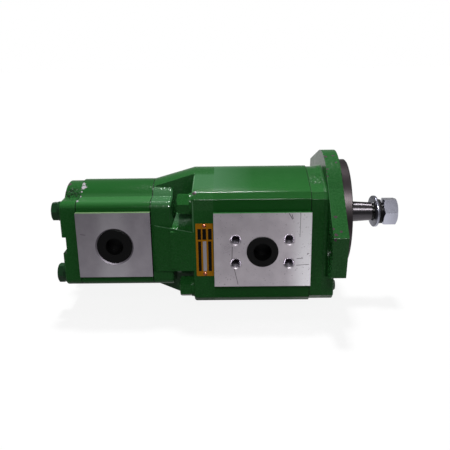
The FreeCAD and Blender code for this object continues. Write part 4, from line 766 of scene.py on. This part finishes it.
def ridge(name, profile, centre, axis, turns, body, finish):
    """A winding ridge from a profile of three points beside the axis, all in mm."""
    steps = STEPS_A_TURN * turns
    rise = Vector(axis) * THREAD_PITCH / STEPS_A_TURN
    thread = bmesh.new()
    corners = [thread.verts.new(point) for point in profile]
    edges = [thread.edges.new(pair) for pair in zip(corners, corners[1:])]
    bmesh.ops.spin(thread, geom=corners + edges, cent=centre, axis=axis, dvec=rise,
                   angle=math.tau * turns, steps=steps, use_merge=False)
    bmesh.ops.scale(thread, vec=(MM, MM, MM), verts=thread.verts)
    bmesh.ops.recalc_face_normals(thread, faces=thread.faces)
    mesh = bpy.data.meshes.new(name)
    thread.to_mesh(mesh)
    thread.free()
    mesh.materials.append(finish)
    piece = bpy.data.objects.new(name, mesh)
    bpy.context.scene.collection.objects.link(piece)
    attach(piece, body)
    return piece


count = 0
for side, word in ((-1, "near"), (1, "far")):
    for x, z in BOLT_CENTRES:
        corners = ((TAP_ROOT, -RIDGE_HALF), (TAP_CREST, 0.0), (TAP_ROOT, RIDGE_HALF))
        profile = [Vector((x + r, side * (TAP_MOUTH + s), z)) for r, s in corners]
        count += 1
        ridge("tapped_thread_" + word + "_" + str(count), profile, (x, 0, z), (0, -side, 0), TAP_TURNS,
              "housing", tapped)
corners = ((SHAFT_ROOT, -RIDGE_HALF), (SHAFT_CREST, 0.0), (SHAFT_ROOT, RIDGE_HALF))
profile = [Vector((SHAFT_THREAD_X + s, 0, r)) for r, s in corners]
ridge("drive_shaft_thread", profile, (0, 0, 0), (1, 0, 0), SHAFT_TURNS,
      "drive_train", black_oxide)
print("threads made:", count + 1)

# %% [markdown]
# ## The table
#
# The pump stands on a white table. To the camera the table has one even, glowing white, which is dim enough to
# keep the pump's faint shadow. What it shows in reflections is set apart with a Light Path node, as a card does
# that a photographer lays beside the work: white behind the pump, dim in front of it, and brighter towards the
# drive end. The part that the shaft mirrors has a tone of its own, which keeps dark and light bands on the
# taper.

# %% Table
# The pump stands a hair above the table, so that no two faces lie in one plane.
FLOOR_Z = cad_box[0].z - 0.4 * MM
TABLE_HALF_WIDTH = 3.0
# How bright the glow is to the camera, and how much of the table's look is glow and not paint.
TABLE_SEEN, TABLE_GLOW_SHARE = 1.37, 0.65
# Where the table's reflected tone changes: start and end in m, and what it is, or is multiplied by, at each.
TONE_IN_FRONT = (-0.4, -0.12, 0.22, 0.58)
TONES_ALONG = ((-0.3, -0.2, 0.62, 1.0), (-0.045, -0.015, 1.0, 2.1), (0.018, 0.035, 1.0, 1.7))
TONE_BY_SHAFT = (-0.3, -0.12, 0.04, 0.7)
SHAFT_PART = (0.05, 0.09)
BEHIND_PUMP = (0.05, 0.15)


def seen(tree, by_camera, in_mirrors):
    """One strength for the camera's rays, another in reflections, and nothing for the rest."""
    path = add(tree, "LightPath").outputs
    mirror = add(tree, "Math", {0: path["Is Glossy Ray"], 1: path["Is Transmission Ray"]}, operation="MAXIMUM")
    direct = add(tree, "Math", {0: path["Is Camera Ray"], 1: by_camera}, operation="MULTIPLY")
    return add(tree, "Math", {0: mirror.outputs[0], 1: in_mirrors, 2: direct.outputs[0]},
               operation="MULTIPLY_ADD").outputs[0]


mesh = bpy.data.meshes.new("floor")
floor = bpy.data.objects.new("floor", mesh)
bpy.context.scene.collection.objects.link(floor)
sheet = bmesh.new()
bmesh.ops.create_grid(sheet, x_segments=1, y_segments=1, size=TABLE_HALF_WIDTH)
bmesh.ops.translate(sheet, verts=sheet.verts, vec=(0, 0, FLOOR_Z))
sheet.to_mesh(mesh)
sheet.free()
floor_paint = bpy.data.materials.new("matt_white_studio_table")
floor_paint.use_nodes = True
tree = floor_paint.node_tree
tree.nodes.clear()
axes = add(tree, "SeparateXYZ", {0: add(tree, "TexCoord").outputs["Object"]}).outputs
tone = add(tree, "MapRange", dict(enumerate((axes["Y"], *TONE_IN_FRONT)))).outputs[0]
for change in TONES_ALONG:
    factor = add(tree, "MapRange", dict(enumerate((axes["X"], *change)))).outputs[0]
    tone = add(tree, "Math", {0: tone, 1: factor}, operation="MULTIPLY").outputs[0]
by_shaft = add(tree, "MapRange", dict(enumerate((axes["Y"], *TONE_BY_SHAFT)))).outputs[0]
at_shaft = add(tree, "MapRange", dict(enumerate((axes["X"], *SHAFT_PART)))).outputs[0]
tone = add(tree, "Mix", {"Factor": at_shaft, NUMBER_A: tone, NUMBER_B: by_shaft}).outputs[0]
behind = add(tree, "MapRange", dict(enumerate((axes["Y"], *BEHIND_PUMP)))).outputs[0]
tone = add(tree, "Math", {0: tone, 1: behind}, operation="MAXIMUM").outputs[0]
table = add(tree, "BsdfDiffuse", {"Color": colour("A0A0A0")})
glow = add(tree, "Emission", {"Color": colour("FFFFFF"), "Strength": seen(tree, TABLE_SEEN, tone)})
blend = add(tree, "MixShader", {"Fac": TABLE_GLOW_SHARE, 1: table.outputs[0], 2: glow.outputs[0]})
add(tree, "OutputMaterial", {"Surface": blend.outputs[0]})
mesh.materials.append(floor_paint)
print("table laid at", round(FLOOR_Z / MM, 1), "mm")

# %% [markdown]
# ## The room
#
# The air behind the table is white to the camera. In reflections the room is dim, with one soft band low above
# the horizon. Faces that lean back mirror it and turn a little paler than the upright ones. The band follows
# the angle above the horizon in front of the pump, so a ramp of greys over that angle draws it. All other light
# from the room is a weak, even white.

# %% Room
# The least light that comes from any side of the room.
ROOM = 0.14
# Each pair is degrees above the horizon in front, and the grey that a reflection meets there.
BANDS = ((-75, 0.2), (-60, 0.12), (-10, 0.1), (5, 0.36), (18, 0.34), (28, 0.08), (40, 0.08), (68, 0.14))
# The greys straight below and straight above.
BELOW, ABOVE = 0.35, 0.28

world = bpy.data.worlds.new("studio")
bpy.context.scene.world = world
world.use_nodes = True
tree = world.node_tree
sky = tree.nodes["Background"]
sky.inputs["Color"].default_value = (1, 1, 1, 1)
axes = add(tree, "SeparateXYZ", {0: add(tree, "TexCoord").outputs["Generated"]}).outputs
front = add(tree, "Math", {0: axes["Y"], 1: -1.0}, operation="MULTIPLY").outputs[0]
tilt = add(tree, "Math", {0: front, 1: axes["Z"]}, operation="ARCTAN2").outputs[0]
share = add(tree, "MapRange", {0: tilt, 1: math.radians(-90), 2: math.radians(90)}).outputs[0]
ramp = add(tree, "ValToRGB", {0: share})
stops = ramp.color_ramp.elements
for degrees, grey in BANDS:
    stops.new((degrees + 90) / 180).color = (grey, grey, grey, 1)
stops[0].color = (BELOW, BELOW, BELOW, 1)
stops[len(stops) - 1].color = (ABOVE, ABOVE, ABOVE, 1)
strength = add(tree, "Math", {0: seen(tree, 1.0, ramp.outputs[0]), 1: ROOM}, operation="MAXIMUM")
tree.links.new(strength.outputs[0], sky.inputs["Strength"])
print("room ready, greys in the ramp:", len(stops))

# %% [markdown]
# ## The lamps
#
# Two suns give the shade: a strong one from behind and above, and a weak one from the front. Neither shows in
# the gloss. Two square lamps do the opposite and show only as highlights, which draw the bright lines along the
# edges. Parting the two jobs lets the tops be bright while the upright faces stay a deep green.

# %% Lamps
PUMP_MIDDLE = Vector((-0.1, -0.03, 0.04))


def lamp(name, kind, power, size, place):
    """A lamp that faces the pump; the size is the sun's spread in degrees, or a square's side in m."""
    data = bpy.data.lights.new(name, kind)
    data.energy = power
    if kind == "SUN":
        data.angle = math.radians(size)
    else:
        data.size = size
    made = bpy.data.objects.new(name, data)
    bpy.context.scene.collection.objects.link(made)
    made.location = place
    made.rotation_euler = (Vector(place) - PUMP_MIDDLE).to_track_quat("Z", "Y").to_euler()
    return made


suns = [lamp("key_for_the_shade", "SUN", 2.6, 8.0, (-0.11, 0.2, 0.7)),
        lamp("fill_from_the_front", "SUN", 0.3, 12.0, (-0.1, -0.57, 0.49))]
softboxes = [lamp("overhead_softbox", "AREA", 8.5, 0.12, (-0.117, 0.21, 0.70)),
             lamp("front_softbox", "AREA", 9.0, 0.12, (-0.042, -0.57, 0.49))]
for sun in suns:
    sun.visible_glossy = False
for softbox in softboxes:
    softbox.visible_diffuse = False
print("lamps:", len(suns) + len(softboxes))

# %% [markdown]
# ## The camera
#
# The photograph was taken from a little above the shaft, almost square to the pump's side. The camera's place
# and turn were worked out from the pump's standard sizes, so that the edges fall where the photograph has them.

# %% Camera
FOCAL_PIXELS = 620.0
IMAGE_PIXELS = 450.0
SENSOR_MM = 36.0
PITCH = math.radians(18.256)
YAW = math.radians(-0.967)
ROLL = math.radians(-0.908)
CAMERA_PLACE = Vector((-95.63, -578.70, 178.32)) * MM

forward = Vector((math.sin(YAW) * math.cos(PITCH), math.cos(YAW) * math.cos(PITCH), -math.sin(PITCH)))
level_right = Vector((math.cos(YAW), -math.sin(YAW), 0))
level_up = level_right.cross(forward)
right = math.cos(ROLL) * level_right + math.sin(ROLL) * level_up
up = -math.sin(ROLL) * level_right + math.cos(ROLL) * level_up

camera_data = bpy.data.cameras.new("camera")
camera_data.sensor_width = SENSOR_MM
camera_data.lens = FOCAL_PIXELS / IMAGE_PIXELS * SENSOR_MM
camera_data.clip_start = 0.01
camera = bpy.data.objects.new("camera", camera_data)
bpy.context.scene.collection.objects.link(camera)
turn = Matrix((right, up, -forward)).transposed().to_4x4()
camera.matrix_world = Matrix.Translation(CAMERA_PLACE) @ turn
bpy.context.scene.camera = camera
bpy.context.scene.view_settings.view_transform = "Standard"
print("camera lens:", round(camera_data.lens, 1), "mm")
